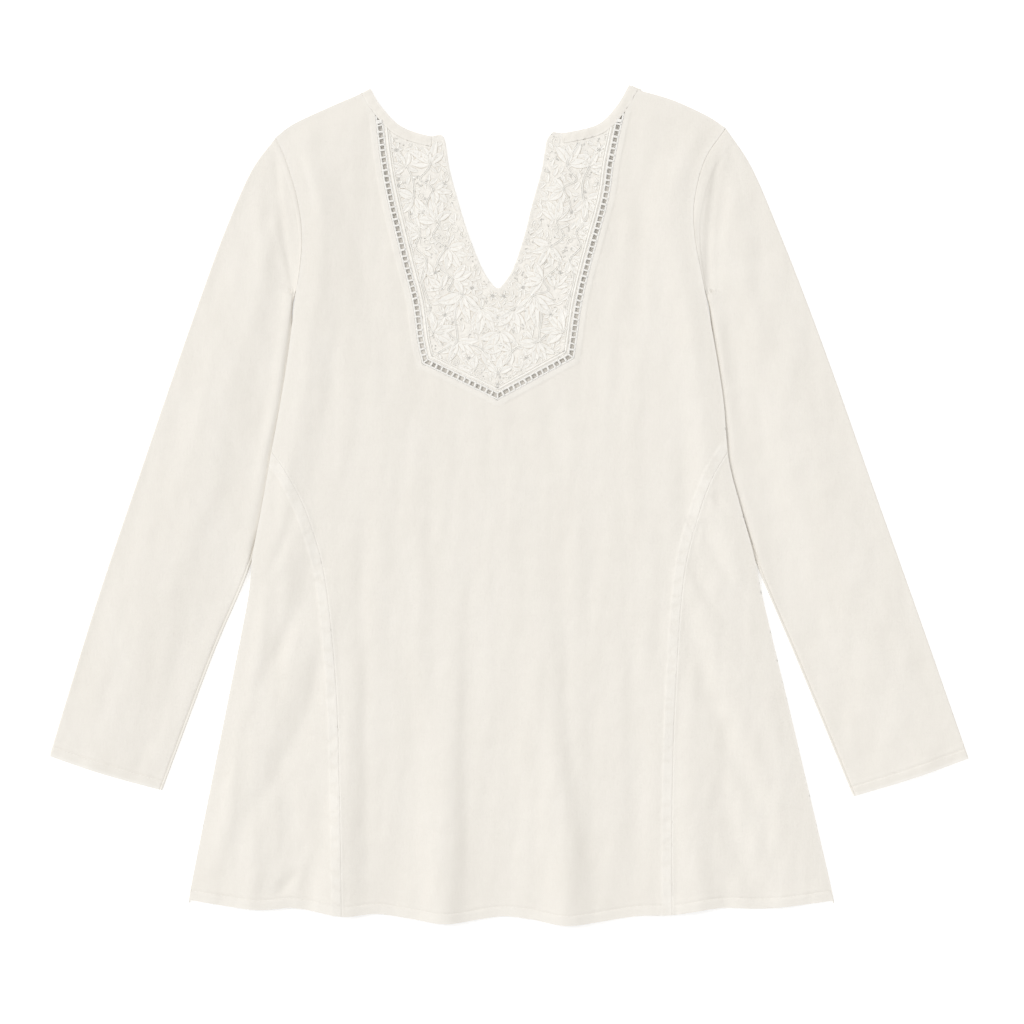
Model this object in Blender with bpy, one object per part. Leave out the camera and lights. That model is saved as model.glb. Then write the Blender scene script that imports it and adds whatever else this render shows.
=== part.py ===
"""A long-sleeved tunic top lying flat on a table with its front up.

The frame: X runs across the garment, Y towards the neck and Z up from the table, with the origin
under the middle of the plan. Left and right are those of the plan.

Every piece is a wall of cloth. The body's pieces are cut to flat outlines and laid on each other:
the back on the table, then the front and its side panels. The sleeves are flattened tubes, open at
both ends, whose inner edges are tucked under the sides of the body.
"""

import math
from collections import namedtuple

import bmesh
import bpy
import numpy as np
from mathutils import Vector
from mathutils.geometry import delaunay_2d_cdt, intersect_line_line_2d

MM = 0.001  # the sizes below are in millimetres

# Driving dimensions.
CLOTH = 1.2  # one layer of washed cotton, with its crinkle
BINDING = 1.9  # the neck binding, folded on itself
CLEAR = 0.3  # space at every seam and between layers
BINDING_WIDTH = 9.2
BINDING_STOPS = 9.0  # the binding stops this far before the slit's upper corner
LADDER_WIDTH = 7.0
HEM_DEPTH = 9.0
HEM_STEP = 2.0  # the width over which the turned hem thins to one layer
HEM_FOLD = 0.9  # what the turned hem adds to the front's thickness
EASE = 1.8  # how far the front floats over the back, away from its edges
EASE_RAMP = 22.0  # the distance from an edge over which it comes up to that
TUCK = 3.0  # how far the body rides up over a tucked sleeve
TUCK_FLAT = 19.0  # the width of the raised strip beside the body's edge
TUCK_RAMP = 28.0  # the width of the slope inside that strip
TUCK_LOW = -92.0  # the height in the plan where that lift starts
TUCK_LOW_RAMP = 40.0
TUCK_TIP_RAMP = 45.0  # the lift dies away over this length below a shoulder's tip
RIDGE_END = 30.0  # a ridge dies away over this length past its ends

# How far apart the points are in each kind of piece.
FRONT_NET = 20.0
BACK_NET = 34.0
YOKE_NET = 14.0
TRIM_NET = 10.0
SLEEVE_NET = 52.0

# A place on both sides of the garment, in one row.
Pair = namedtuple("Pair", "left_x left_y right_x right_y")
# A level section: its height in the plan, and where it meets a line on either side.
Level = namedtuple("Level", "y left right")
# A place on a line that runs across.
Place = namedtuple("Place", "x y")

# From the neck binding to the tip of the shoulder.
SHOULDER = (
    Pair(-167.4, 365.7, 150.9, 373.1),
    Pair(-198.7, 351.0, 183.1, 358.3),
    Pair(-214.9, 338.8, 199.4, 347.4),
)

# The round neck edge, from the top of the shoulder to the upper corner of the slit.
SCOOP = (
    Pair(-127.6, 383.9, 110.6, 387.2),
    Pair(-118.2, 368.0, 98.6, 367.1),
    Pair(-99.5, 349.2, 81.0, 350.4),
    Pair(-72.2, 339.9, 48.0, 342.6),
    Pair(-62.5, 341.6, 40.2, 344.0),
)

# The slit in the yoke, down to its round lower end.
SLIT = (
    Level(335.3, -58.7, 34.4),
    Level(308.7, -54.4, 29.9),
    Level(277.4, -46.0, 21.2),
    Level(247.9, -36.8, 13.8),
    Level(218.5, -24.8, 3.7),
    Level(203.8, -15.6, -5.5),
)
SLIT_END = Place(-10.1, 200.1)

# The back neck, a V that stays hidden under the edges of the front.
BACK_NECK = (
    Pair(-127.9, 383.2, 113.1, 386.6),
    Pair(-120.8, 368.0, 105.1, 368.9),
    Pair(-72.0, 286.5, 54.5, 287.0),
    Pair(-24.0, 207.0, 4.4, 207.0),
)
BACK_NECK_END = Place(-10.1, 194.5)

# The middle of the ladder trim: two long legs, and a blunt point between two corners.
LADDER = (
    Level(371.0, -121.0, 105.0),
    Level(318.0, -115.0, 93.8),
    Level(282.0, -108.6, 88.3),
    Level(224.0, -94.8, 72.7),
    Level(187.2, -85.6, 64.1),
    Level(152.3, -81.0, 59.1),
)
LADDER_CORNER = Pair(-76.8, 132.9, 57.0, 137.5)
LADDER_POINT = Place(-10.5, 100.7)

# The armhole seams between the shoulder tips and the underarms.
ARMHOLE = (
    Level(318.0, -205.4, 180.0),
    Level(280.0, -194.2, 170.2),
    Level(247.0, -190.3, 170.8),
    Level(215.0, -192.7, 176.7),
)
UNDERARM = Level(197.0, -196.1, 180.2)

# The side edges of the body, from the underarms to the hem.
SIDE = (
    UNDERARM,
    Level(150.0, -201.7, 188.8),
    Level(97.0, -209.8, 197.2),
    Level(42.0, -219.9, 202.2),
    Level(0.0, -227.2, 212.7),
    Level(-46.0, -236.0, 225.4),
    Level(-87.0, -240.6, 234.0),
    Level(-197.0, -262.2, 260.4),
    Level(-352.0, -293.0, 296.7),
)

# The curved seam of each side panel, from the side edge down to the hem.
PANEL_SEAM = (
    Level(57.0, -224.0, 206.5),
    Level(26.2, -202.4, 187.3),
    Level(-13.3, -184.0, 173.0),
    Level(-68.5, -169.3, 160.5),
    Level(-164.2, -159.2, 153.5),
    Level(-270.0, -155.5, 150.0),
    Level(-395.0, -153.4, 150.0),
)

# The front's hem, with a row for each low and high place of its waves.
HEM = (
    Place(-292.6, -363.4),
    Place(-234.0, -371.6),
    Place(-197.0, -370.4),
    Place(-153.6, -377.6),
    Place(-122.0, -375.6),
    Place(-92.0, -379.6),
    Place(-55.2, -384.2),
    Place(-8.0, -378.0),
    Place(20.0, -380.4),
    Place(57.0, -385.8),
    Place(117.0, -377.8),
    Place(150.0, -376.7),
    Place(194.0, -370.3),
    Place(240.0, -370.6),
    Place(296.6, -363.8),
)

# The back's hem, which lies a little higher than those waves.
BACK_HEM = (
    HEM[0],
    Place(-197.0, -367.5),
    Place(-80.0, -372.5),
    Place(80.0, -372.5),
    Place(194.0, -367.0),
    HEM[-1],
)

# The oval over which the yoke has settled closer to the back, how much closer it lies there,
# and how far past the oval it takes to come up again, as a share of the oval's reach.
YOKE_MIDDLE = Place(-9.0, 238.0)
YOKE_REACH = Place(112.0, 165.0)
YOKE_SETTLES = 1.5
YOKE_RAMP = 0.4

# The front's soft ridges: where each starts and ends, how high it is there, and how far it
# spreads on either side of its line, as seen looking from its start to its end.
Ridge = namedtuple("Ridge", "x0 y0 high0 x1 y1 high1 right left")
RIDGES = (
    Ridge(-144, -40, 0.0, -155, -380, 6.5, 24, 20),
    Ridge(-50, -80, 0.0, -59, -388, 8.5, 26, 17),
    Ridge(22, -30, 0.0, 58, -388, 8.0, 30, 20),
    Ridge(163, -120, 0.0, 172, -378, 4.0, 22, 18),
    Ridge(-214, -200, 0.0, -236, -374, 4.0, 22, 22),
    Ridge(-186, -128, 2.6, -262, -300, 1.5, 15, 15),
    Ridge(-196, -30, 2.2, -236, -165, 1.4, 14, 14),
    Ridge(176, -90, 2.4, 250, -300, 1.6, 15, 15),
    Ridge(-178, 300, 1.4, -176, 205, 0.8, 12, 12),
    Ridge(158, 300, 1.4, 156, 205, 0.8, 12, 12),
)

# The rings of a sleeve: where each meets the outer fold and the inner edge, how much of the
# armhole's bow and of the body's lift it keeps, and how high its crown stands.
Ring = namedtuple("Ring", "outer_x outer_y inner_x inner_y bow lift crown")
SLEEVE_LEFT = (
    Ring(-215.2, 338.6, -196.5, 196.9, 1.00, 1.0, 0.0),
    Ring(-237.8, 307.0, -199.3, 180.5, 0.72, 0.0, 2.2),
    Ring(-261.9, 251.8, -199.5, 147.7, 0.40, 0.0, 3.2),
    Ring(-284.3, 190.9, -203.6, 97.1, 0.16, 0.0, 3.4),
    Ring(-310.0, 117.3, -215.0, 38.0, 0.0, 0.0, 3.4),
    Ring(-343.2, 19.8, -236.4, -50.1, 0.0, 0.0, 3.4),
    Ring(-380.9, -92.5, -272.4, -137.5, 0.0, 0.0, 3.0),
    Ring(-423.2, -230.6, -319.2, -262.2, 0.0, 0.0, 1.6),
)
SLEEVE_RIGHT = (
    Ring(199.7, 347.2, 180.6, 196.9, 1.00, 1.0, 0.0),
    Ring(223.6, 310.6, 184.6, 179.5, 0.72, 0.0, 2.2),
    Ring(248.4, 252.8, 187.4, 147.7, 0.40, 0.0, 3.2),
    Ring(273.2, 189.8, 191.6, 97.1, 0.16, 0.0, 3.4),
    Ring(301.2, 113.8, 198.4, 38.0, 0.0, 0.0, 3.4),
    Ring(335.8, 15.3, 226.6, -50.1, 0.0, 0.0, 3.4),
    Ring(376.1, -98.0, 267.9, -149.2, 0.0, 0.0, 3.0),
    Ring(423.2, -232.8, 316.8, -267.8, 0.0, 0.0, 1.6),
)
CROWN_STOPS = 0.84  # the share of a sleeve's width, from the outer fold, that its crown covers

COTTON = (0.87, 0.84, 0.79)
LACE = (0.84, 0.81, 0.76)
TRIM = (0.90, 0.88, 0.84)


# Lines in the plan.


def smooth_line(rows, step):
    """A smooth curve through the rows of a table, as points about a step apart."""
    knots = [np.array(row, float) for row in rows]
    knots = [2 * knots[0] - knots[1], *knots, 2 * knots[-1] - knots[-2]]
    line = [knots[1]]
    for a, b, c, d in zip(knots, knots[1:], knots[2:], knots[3:]):
        count = max(1, round(np.linalg.norm(c - b) / step))
        for t in np.arange(1, count + 1) / count:
            cubic = (3 * b - a - 3 * c + d) * t**3 + (2 * a - 5 * b + 4 * c - d) * t**2
            line.append((cubic + (c - a) * t + 2 * b) / 2)
    return line


def beside(line, distance):
    """A line moved to its left by a distance, with its corners mitred."""
    steps = [(b - a) / np.linalg.norm(b - a) for a, b in zip(line, line[1:])]
    moved = []
    for point, before, after in zip(line, [steps[0], *steps], [*steps, steps[-1]]):
        left = np.array((-before[1] - after[1], before[0] + after[0]))
        left /= np.linalg.norm(left)
        moved.append(point + left * distance / np.dot(left, (-after[1], after[0])))
    return moved


def drawn_in(outline, distance):
    """A closed outline drawn in all round by a distance."""
    ring = [outline[-1], *outline, outline[0]]
    area = sum(a[0] * b[1] - b[0] * a[1] for a, b in zip(ring, ring[1:]))
    return beside(ring, math.copysign(distance, area))[1:-1]


def split(line, cutter):
    """The two parts of a line on either side of its crossing with another."""
    for k, (a, b) in enumerate(zip(line, line[1:])):
        for c, d in zip(cutter, cutter[1:]):
            crossing = intersect_line_line_2d(*(Vector(p) for p in (a, b, c, d)))
            if crossing is not None:
                point = np.array(crossing)
                return [*line[: k + 1], point], [point, *line[k + 1 :]]
    raise ValueError("these lines don't cross")


def shortened(line, length):
    """A line with a length taken off its end."""
    line = list(line)
    while np.linalg.norm(line[-1] - line[-2]) <= length:
        length -= np.linalg.norm(line[-1] - line[-2])
        line.pop()
    back = line[-2] - line[-1]
    line[-1] = line[-1] + back * length / np.linalg.norm(back)
    return line


def both_sides(rows):
    """The left and the right line of a table of pairs or of levels."""
    if isinstance(rows[0], Pair):
        return [row[:2] for row in rows], [row[2:] for row in rows]
    return [(row.left, row.y) for row in rows], [(row.right, row.y) for row in rows]


def reader(line, axis):
    """Reads a line: at a height of the plan for axis 1, or at a place across it for axis 0."""
    points = np.array(sorted(line, key=lambda point: point[axis]))
    return lambda value: float(np.interp(value, points[:, axis], points[:, 1 - axis]))


scoops = [smooth_line(line, TRIM_NET) for line in both_sides(SCOOP)]
bindings = [beside(scoops[0], -BINDING_WIDTH), beside(scoops[1], BINDING_WIDTH)]
shoulders, armholes, sides = [], [], []
for binding, shoulder, armhole, side in zip(
    bindings, both_sides(SHOULDER), both_sides(ARMHOLE), both_sides(SIDE)
):
    shoulders.append(smooth_line([binding[0], *shoulder], FRONT_NET))
    armholes.append(smooth_line([shoulder[-1], *armhole, side[0]], FRONT_NET))
    sides.append(side)
hem = smooth_line(HEM, FRONT_NET * 0.75)
back_hem = smooth_line(BACK_HEM, FRONT_NET)
sides = [smooth_line([*side, end], FRONT_NET) for side, end in zip(sides, (HEM[0], HEM[-1]))]

edge_at = [reader([*armhole, *side], 1) for armhole, side in zip(armholes, sides)]
shoulder_at = [reader(shoulder, 0) for shoulder in shoulders]
hem_at = reader(hem, 0)


# Heights over the table.


def soft(value):
    """From 0 to 1, with no corner at either end."""
    value = min(max(value, 0.0), 1.0)
    return value * value * (3 - 2 * value)


def in_from_side(x, y):
    return min(x - edge_at[0](y), edge_at[1](y) - x)


def lift(x, y):
    """How far the body rides up beside the armholes and over the tucked sleeves."""
    tip = SHOULDER[-1].left_y if x < 0 else SHOULDER[-1].right_y
    strip = 1 - soft((in_from_side(x, y) - TUCK_FLAT) / TUCK_RAMP)
    return TUCK * strip * soft((tip - y) / TUCK_TIP_RAMP) * soft((y - TUCK_LOW) / TUCK_LOW_RAMP)


def ridge_at(x, y, ridge):
    run = np.array((ridge.x1 - ridge.x0, ridge.y1 - ridge.y0))
    length = np.linalg.norm(run)
    reach = np.array((x - ridge.x0, y - ridge.y0))
    along = float(np.dot(reach, run)) / length
    across = float(run[0] * reach[1] - run[1] * reach[0]) / length
    past = max(-along, along - length, 0.0)
    height = ridge.high0 + (ridge.high1 - ridge.high0) * soft(along / length)
    spread = ridge.left if across > 0 else ridge.right
    return height * math.exp(-((across / spread) ** 2) - (past / RIDGE_END) ** 2)


def ease(x, y):
    """How far the front floats over the back. Its yoke has settled closer to the back."""
    below_shoulder = shoulder_at[0 if x < 0 else 1](x) - y
    edges = soft(in_from_side(x, y) / EASE_RAMP) * soft(below_shoulder / EASE_RAMP)
    from_yoke = math.hypot((x - YOKE_MIDDLE.x) / YOKE_REACH.x, (y - YOKE_MIDDLE.y) / YOKE_REACH.y)
    settled = YOKE_SETTLES * (1 - soft((from_yoke - 1) / YOKE_RAMP))
    return edges * (EASE - settled + sum(ridge_at(x, y, ridge) for ridge in RIDGES))


def front_floor(x, y):
    return lift(x, y) + CLOTH + CLEAR + ease(x, y)


def front_wall(x, y):
    return CLOTH + HEM_FOLD if y < hem_at(x) + HEM_DEPTH + HEM_STEP / 2 else CLOTH


def one_layer(x, y):
    return CLOTH


def binding_wall(x, y):
    return BINDING


# Pieces.


def add_piece(name, solid, colour):
    """Makes a piece of a solid in millimetres, with a material of its own."""
    bmesh.ops.recalc_face_normals(solid, faces=solid.faces)
    bmesh.ops.scale(solid, vec=(MM, MM, MM), verts=solid.verts)
    mesh = bpy.data.meshes.new(name)
    solid.to_mesh(mesh)
    solid.free()
    mesh.shade_smooth()
    mesh.set_sharp_from_angle(angle=math.radians(50))
    material = bpy.data.materials.new(name + "_cloth")
    material.use_nodes = True
    shader = material.node_tree.nodes["Principled BSDF"]
    shader.inputs["Base Color"].default_value = (*colour, 1.0)
    shader.inputs["Roughness"].default_value = 0.85
    shader.inputs["Metallic"].default_value = 0.0
    mesh.materials.append(material)
    bpy.context.scene.collection.objects.link(bpy.data.objects.new(name, mesh))


def depth_in(outline, point):
    """How far a point is inside an outline, or 0 outside it."""
    starts = np.array(outline)
    runs = np.roll(starts, -1, axis=0) - starts
    reach = np.array(point) - starts
    share = np.clip((reach * runs).sum(axis=1) / (runs**2).sum(axis=1), 0, 1)
    nearest = np.linalg.norm(reach - runs * share[:, None], axis=1).min()
    ends_above = starts[:, 1] + runs[:, 1] > point[1]
    crossed = (starts[:, 1] > point[1]) != ends_above
    slope = runs[:, 0] / np.where(runs[:, 1] == 0, 1, runs[:, 1])
    right_of_point = starts[:, 0] + slope * reach[:, 1] > point[0]
    return nearest if (crossed & right_of_point).sum() % 2 else 0.0


def net_inside(outline, spacing):
    """A net of points inside an outline, in rows that are half a step out of line."""
    low, high = np.min(outline, axis=0), np.max(outline, axis=0)
    for row, y in enumerate(np.arange(low[1], high[1], spacing * math.sqrt(0.75))):
        for x in np.arange(low[0] + row % 2 * spacing / 2, high[0], spacing):
            if depth_in(outline, (x, y)) > spacing / 2:
                yield x, y


def lay(name, outline, floor, wall, spacing, colour, lines=()):
    """Cuts a piece of cloth to an outline and lays it over what is under it."""
    rim = drawn_in(outline, CLEAR / 2)
    marks = [point for line in lines for point in line if depth_in(rim, point) > HEM_STEP]
    points = [Vector(point) for point in (*rim, *marks, *net_inside(rim, spacing))]
    flat, _, triangles, *_ = delaunay_2d_cdt(points, [], [range(len(rim))], 1, CLEAR / 100)
    solid = bmesh.new()
    corners = [solid.verts.new((x, y, floor(x, y))) for x, y in flat]
    for triangle in triangles:
        solid.faces.new([corners[k] for k in triangle])
    bmesh.ops.delete(solid, geom=[v for v in solid.verts if not v.link_faces], context="VERTS")
    raised = bmesh.ops.extrude_face_region(solid, geom=solid.faces[:], use_keep_orig=True)
    for vert in raised["geom"]:
        if isinstance(vert, bmesh.types.BMVert):
            vert.co.z += wall(vert.co.x, vert.co.y)
    add_piece(name, solid, colour)


def add_sleeve(name, rings, armhole, edge):
    """A flattened tube of cloth whose first ring follows the armhole."""
    steps = np.linalg.norm(np.diff(armhole, axis=0), axis=1)
    shares = np.concatenate(([0.0], np.cumsum(steps))) / steps.sum()
    bows = [p - armhole[0] - (armhole[-1] - armhole[0]) * v for p, v in zip(armhole, shares)]
    solid = bmesh.new()
    skins = []
    for skin in (0.0, CLOTH):
        rows = []
        for ring in smooth_line(rings, SLEEVE_NET):
            outer, inner, (bow, lifted, crown) = ring[:2], ring[2:4], ring[4:]
            margin = skin / np.linalg.norm(inner - outer)
            under, over = [], []
            for share, curve in zip(shares, bows):
                v = min(max(share, margin), 1 - margin)
                x, y = outer + (inner - outer) * v + curve * bow
                base = max(lifted, 0.0) * lift(edge(y), y)
                round_top = math.sin(math.pi * min(v / CROWN_STOPS, 1.0)) ** 2 * crown
                top = base + 2 * CLOTH + CLEAR + round_top
                under.append(solid.verts.new((x, y, base + skin)))
                over.append(solid.verts.new((x, y, top - skin)))
            rows.append(under + over[::-1])
        skins.append(rows)
    around = len(skins[0][0])
    for j, k in ((j, (j + 1) % around) for j in range(around)):
        for rows in skins:
            for low, high in zip(rows, rows[1:]):
                solid.faces.new((low[j], low[k], high[k], high[j]))
        for end in (0, -1):
            outside, inside = skins[0][end], skins[1][end]
            solid.faces.new((outside[j], outside[k], inside[k], inside[j]))
    add_piece(name, solid, COTTON)


def joined(*lines):
    """Lines end to end, as one closed outline with no point twice."""
    outline = []
    for point in (np.array(point, float) for line in lines for point in line):
        if not outline or np.linalg.norm(point - outline[-1]) > CLEAR:
            outline.append(point)
    return outline[1:] if np.linalg.norm(outline[0] - outline[-1]) <= CLEAR else outline


for old in list(bpy.data.objects):
    bpy.data.objects.remove(old, do_unlink=True)

# The ladder trim, mitred at its corners, with its ends cut along the neck binding.
(ladder_left, ladder_right), (corner_left, corner_right) = map(both_sides, (LADDER, [LADDER_CORNER]))
ladder = joined(
    smooth_line([*ladder_left, *corner_left], YOKE_NET),
    smooth_line([*corner_left, LADDER_POINT], YOKE_NET),
    smooth_line([LADDER_POINT, *corner_right], YOKE_NET),
    smooth_line([*ladder_right, *corner_right], YOKE_NET)[::-1],
)
ladder_lines = [beside(ladder, side * LADDER_WIDTH / 2) for side in (-1, 1)]
ladder_outside, ladder_inside = (
    split(split(line, bindings[0])[1], bindings[1])[0] for line in ladder_lines
)
ladder_ends = [split(split(line, ladder_lines[0])[1], ladder_lines[1])[0] for line in bindings]
trim = joined(ladder_outside, ladder_ends[1], ladder_inside[::-1], ladder_ends[0][::-1])
lay("ladder_trim", trim, front_floor, one_layer, TRIM_NET, TRIM)

# The neck bindings, from the shoulders to just before the slit.
short_scoops = [shortened(scoop, BINDING_STOPS) for scoop in scoops]
short_bindings = [beside(line, side * BINDING_WIDTH) for line, side in zip(short_scoops, (-1, 1))]
for name, inside, outside in zip(("left", "right"), short_scoops, short_bindings):
    outline = joined(inside, outside[::-1])
    lay("neck_binding_" + name, outline, front_floor, binding_wall, TRIM_NET, TRIM)

# The yoke, from the ladder in to the slit.
slit_left, slit_right = both_sides(SLIT)
slit_rows = [scoops[0][-1], *slit_left, SLIT_END, *slit_right[::-1], scoops[1][-1]]
past_ladder = [split(line, ladder_lines[1])[1] for line in short_bindings]
yoke = joined(
    ladder_inside,
    past_ladder[1],
    short_scoops[1][-1:],
    smooth_line(slit_rows, YOKE_NET)[::-1],
    short_scoops[0][-1:],
    past_ladder[0][::-1],
)
lay("yoke", yoke, front_floor, one_layer, YOKE_NET, LACE)

# The front, which runs round the ladder and down to the hem between the seams of its side panels.
seams = [smooth_line(line, FRONT_NET) for line in both_sides(PANEL_SEAM)]
hem_left, rest = split(hem, seams[0])
hem_middle, hem_right = split(rest, seams[1])
over_seam, beside_seam = zip(*(split(side, seam) for side, seam in zip(sides, seams)))
seams = [split(split(seam, side)[1], hem)[0] for seam, side in zip(seams, sides)]
by_ladder = [split(line, ladder_lines[0])[0] for line in bindings]
front = joined(
    by_ladder[0],
    ladder_outside,
    by_ladder[1][::-1],
    shoulders[1],
    armholes[1],
    over_seam[1],
    seams[1],
    hem_middle[::-1],
    seams[0][::-1],
    over_seam[0][::-1],
    armholes[0][::-1],
    shoulders[0][::-1],
)
hem_rows = [[(x, y + up) for x, y in hem] for up in (HEM_DEPTH, HEM_DEPTH + HEM_STEP)]
lay("front_panel", front, front_floor, front_wall, FRONT_NET, COTTON, hem_rows)
for name, seam, hem_part, side in zip(
    ("left", "right"), seams, (hem_left[::-1], hem_right), beside_seam
):
    outline = joined(seam, hem_part, side[::-1])
    lay("side_panel_" + name, outline, front_floor, front_wall, FRONT_NET, COTTON, hem_rows)

# The back, with its deep V neck and the binding round it.
neck_left, neck_right = both_sides(BACK_NECK)
back_neck = smooth_line([*neck_left, BACK_NECK_END, *neck_right[::-1]], YOKE_NET)
back_neck_outside = beside(back_neck, -BINDING_WIDTH)
back_binding = joined(back_neck, back_neck_outside[::-1])
lay("back_neck_binding", back_binding, lift, one_layer, TRIM_NET, TRIM)
back = joined(
    back_neck_outside,
    shoulders[1][1:],
    armholes[1],
    sides[1],
    back_hem[::-1],
    sides[0][::-1],
    armholes[0][::-1],
    shoulders[0][:0:-1],
)
strips = [beside(sides[0], TUCK_FLAT), beside(sides[1], -TUCK_FLAT)]
lay("back_panel", back, lift, one_layer, BACK_NET, COTTON, strips)

add_sleeve("sleeve_left", SLEEVE_LEFT, armholes[0], edge_at[0])
add_sleeve("sleeve_right", SLEEVE_RIGHT, armholes[1], edge_at[1])
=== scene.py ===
"""The looks of a long-sleeved tunic top that lies flat on a table with its front up.

Sizes are in millimetres in the frame's axes: X across the garment, Y towards the neck, Z up from
the table. Left and right are those of the plan. Pieces come in the order in which the garment is
put together, from the back up to the sleeves, and the table, the lights and the camera come last.
"""

import math
from collections import namedtuple

import bpy
import numpy as np
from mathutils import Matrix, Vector
from mathutils.geometry import delaunay_2d_cdt, intersect_line_line_2d


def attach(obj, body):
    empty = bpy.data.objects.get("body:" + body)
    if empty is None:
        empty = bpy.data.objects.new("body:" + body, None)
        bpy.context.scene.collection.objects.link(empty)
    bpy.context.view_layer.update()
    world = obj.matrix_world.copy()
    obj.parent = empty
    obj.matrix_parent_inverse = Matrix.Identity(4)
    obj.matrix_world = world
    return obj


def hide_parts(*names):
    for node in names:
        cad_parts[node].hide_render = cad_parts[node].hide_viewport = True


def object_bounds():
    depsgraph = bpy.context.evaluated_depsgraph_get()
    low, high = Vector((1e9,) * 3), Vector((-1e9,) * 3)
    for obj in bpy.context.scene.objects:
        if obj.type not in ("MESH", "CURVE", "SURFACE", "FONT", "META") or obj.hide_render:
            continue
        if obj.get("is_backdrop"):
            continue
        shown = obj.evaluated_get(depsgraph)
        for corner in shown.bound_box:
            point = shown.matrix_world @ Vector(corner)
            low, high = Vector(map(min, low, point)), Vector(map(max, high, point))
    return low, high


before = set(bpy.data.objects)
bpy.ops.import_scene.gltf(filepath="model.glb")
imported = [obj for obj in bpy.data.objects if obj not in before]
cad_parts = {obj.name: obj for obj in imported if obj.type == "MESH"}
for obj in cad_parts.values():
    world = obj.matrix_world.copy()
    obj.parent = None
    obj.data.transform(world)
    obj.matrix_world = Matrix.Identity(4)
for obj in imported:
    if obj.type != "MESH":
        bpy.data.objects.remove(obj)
cad_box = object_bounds()


# ---------------------------------------------------------------------------------------------
# The back panel: one flat piece of ivory cotton, garment-washed, so that it is matt and a little
# crinkled. It lies on the table, rides up over the tucked sleeves, and has a deep V neck.
# ---------------------------------------------------------------------------------------------

MM = 0.001
CLOTH = 1.2  # one layer of cotton, with its crinkle
CLEAR = 0.3  # between pieces that are sewn together, and between layers

Pair = namedtuple("Pair", "left_x left_y right_x right_y")
Level = namedtuple("Level", "y left right")
Place = namedtuple("Place", "x y")

SHOULDER = (
    Pair(-167.4, 365.7, 150.9, 373.1),
    Pair(-198.7, 351.0, 183.1, 358.3),
    Pair(-214.9, 338.8, 199.4, 347.4),
)
ARMHOLE = (
    Level(318.0, -205.4, 180.0),
    Level(280.0, -194.2, 170.2),
    Level(247.0, -190.3, 170.8),
    Level(215.0, -192.7, 176.7),
)
SIDE = (
    Level(197.0, -196.1, 180.2),
    Level(150.0, -201.7, 188.8),
    Level(97.0, -209.8, 197.2),
    Level(42.0, -219.9, 202.2),
    Level(0.0, -227.2, 212.7),
    Level(-46.0, -236.0, 225.4),
    Level(-87.0, -240.6, 234.0),
    Level(-197.0, -262.2, 260.4),
    Level(-352.0, -293.0, 296.7),
)
SIDE_END = Pair(-292.6, -363.4, 296.6, -363.8)
BACK_HEM = (
    Place(-292.6, -363.4),
    Place(-197.0, -367.5),
    Place(-80.0, -372.5),
    Place(80.0, -372.5),
    Place(194.0, -367.0),
    Place(296.6, -363.8),
)
BACK_NECK = (
    Pair(-127.9, 383.2, 113.1, 386.6),
    Pair(-120.8, 368.0, 105.1, 368.9),
    Pair(-72.0, 286.5, 54.5, 287.0),
    Pair(-24.0, 207.0, 4.4, 207.0),
)
BACK_NECK_END = Place(-10.1, 194.5)
SCOOP = (
    Pair(-127.6, 383.9, 110.6, 387.2),
    Pair(-118.2, 368.0, 98.6, 367.1),
    Pair(-99.5, 349.2, 81.0, 350.4),
    Pair(-72.2, 339.9, 48.0, 342.6),
    Pair(-62.5, 341.6, 40.2, 344.0),
)
BINDING_WIDTH = 9.2

TUCK = 3.0  # how far the body rides up over a tucked sleeve
TUCK_FLAT = 19.0
TUCK_RAMP = 28.0
TUCK_LOW = -92.0
TUCK_LOW_RAMP = 40.0
TUCK_TIP_RAMP = 45.0

IVORY = (0.832, 0.797, 0.737)
IVORY_SHADE = (0.808, 0.771, 0.706)
# The lighter ivory that cut edges, hems and turned strips are lightened towards, and that paints
# highlight on the raised seam strips.
IVORY_LIGHTER = (0.892, 0.866, 0.815)
THREAD_PITCH = 0.55
SEWN_GAP = 0.005  # what is drawn in at each edge, so that a seam shows as a fine line
EDGE_ROUND = 0.12
ROUNDED_SHARE = 0.85  # how much of an edge's half thickness is rounded off
CRISP_ANGLE = 50.0  # an edge between faces that meet more steeply than this is shaded sharp
RIM_INSETS = (SEWN_GAP, 0.1, 0.4, 1.0)
RIM_CLEAR = 0.07  # how near the points of a net come to its rim
NET_CLEAR = 1.2
CROWDED = 0.4  # a share of the net's spacing
BLOCK = 2_000_000  # how many distances are worked out at a time


def smooth_line(rows, step):
    """A smooth curve through the rows of a table, as points about a step apart."""
    knots = [np.array(row, float) for row in rows]
    knots = [2 * knots[0] - knots[1], *knots, 2 * knots[-1] - knots[-2]]
    line = [knots[1]]
    for a, b, c, d in zip(knots, knots[1:], knots[2:], knots[3:]):
        count = max(1, round(np.linalg.norm(c - b) / step))
        for t in np.arange(1, count + 1) / count:
            cubic = (3 * b - a - 3 * c + d) * t**3 + (2 * a - 5 * b + 4 * c - d) * t**2
            line.append((cubic + (c - a) * t + 2 * b) / 2)
    return line


def run_along(line):
    """How far along a line each of its points is."""
    return np.concatenate(([0.0], np.cumsum(np.linalg.norm(np.diff(line, axis=0), axis=1))))


def beside(line, distance):
    """A line moved to its left by a distance, with its corners mitred."""
    steps = [(b - a) / np.linalg.norm(b - a) for a, b in zip(line, line[1:])]
    moved = []
    for point, before, after in zip(line, [steps[0], *steps], [*steps, steps[-1]]):
        left = np.array((-before[1] - after[1], before[0] + after[0]))
        left /= np.linalg.norm(left)
        moved.append(point + left * distance / np.dot(left, (-after[1], after[0])))
    return moved


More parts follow.
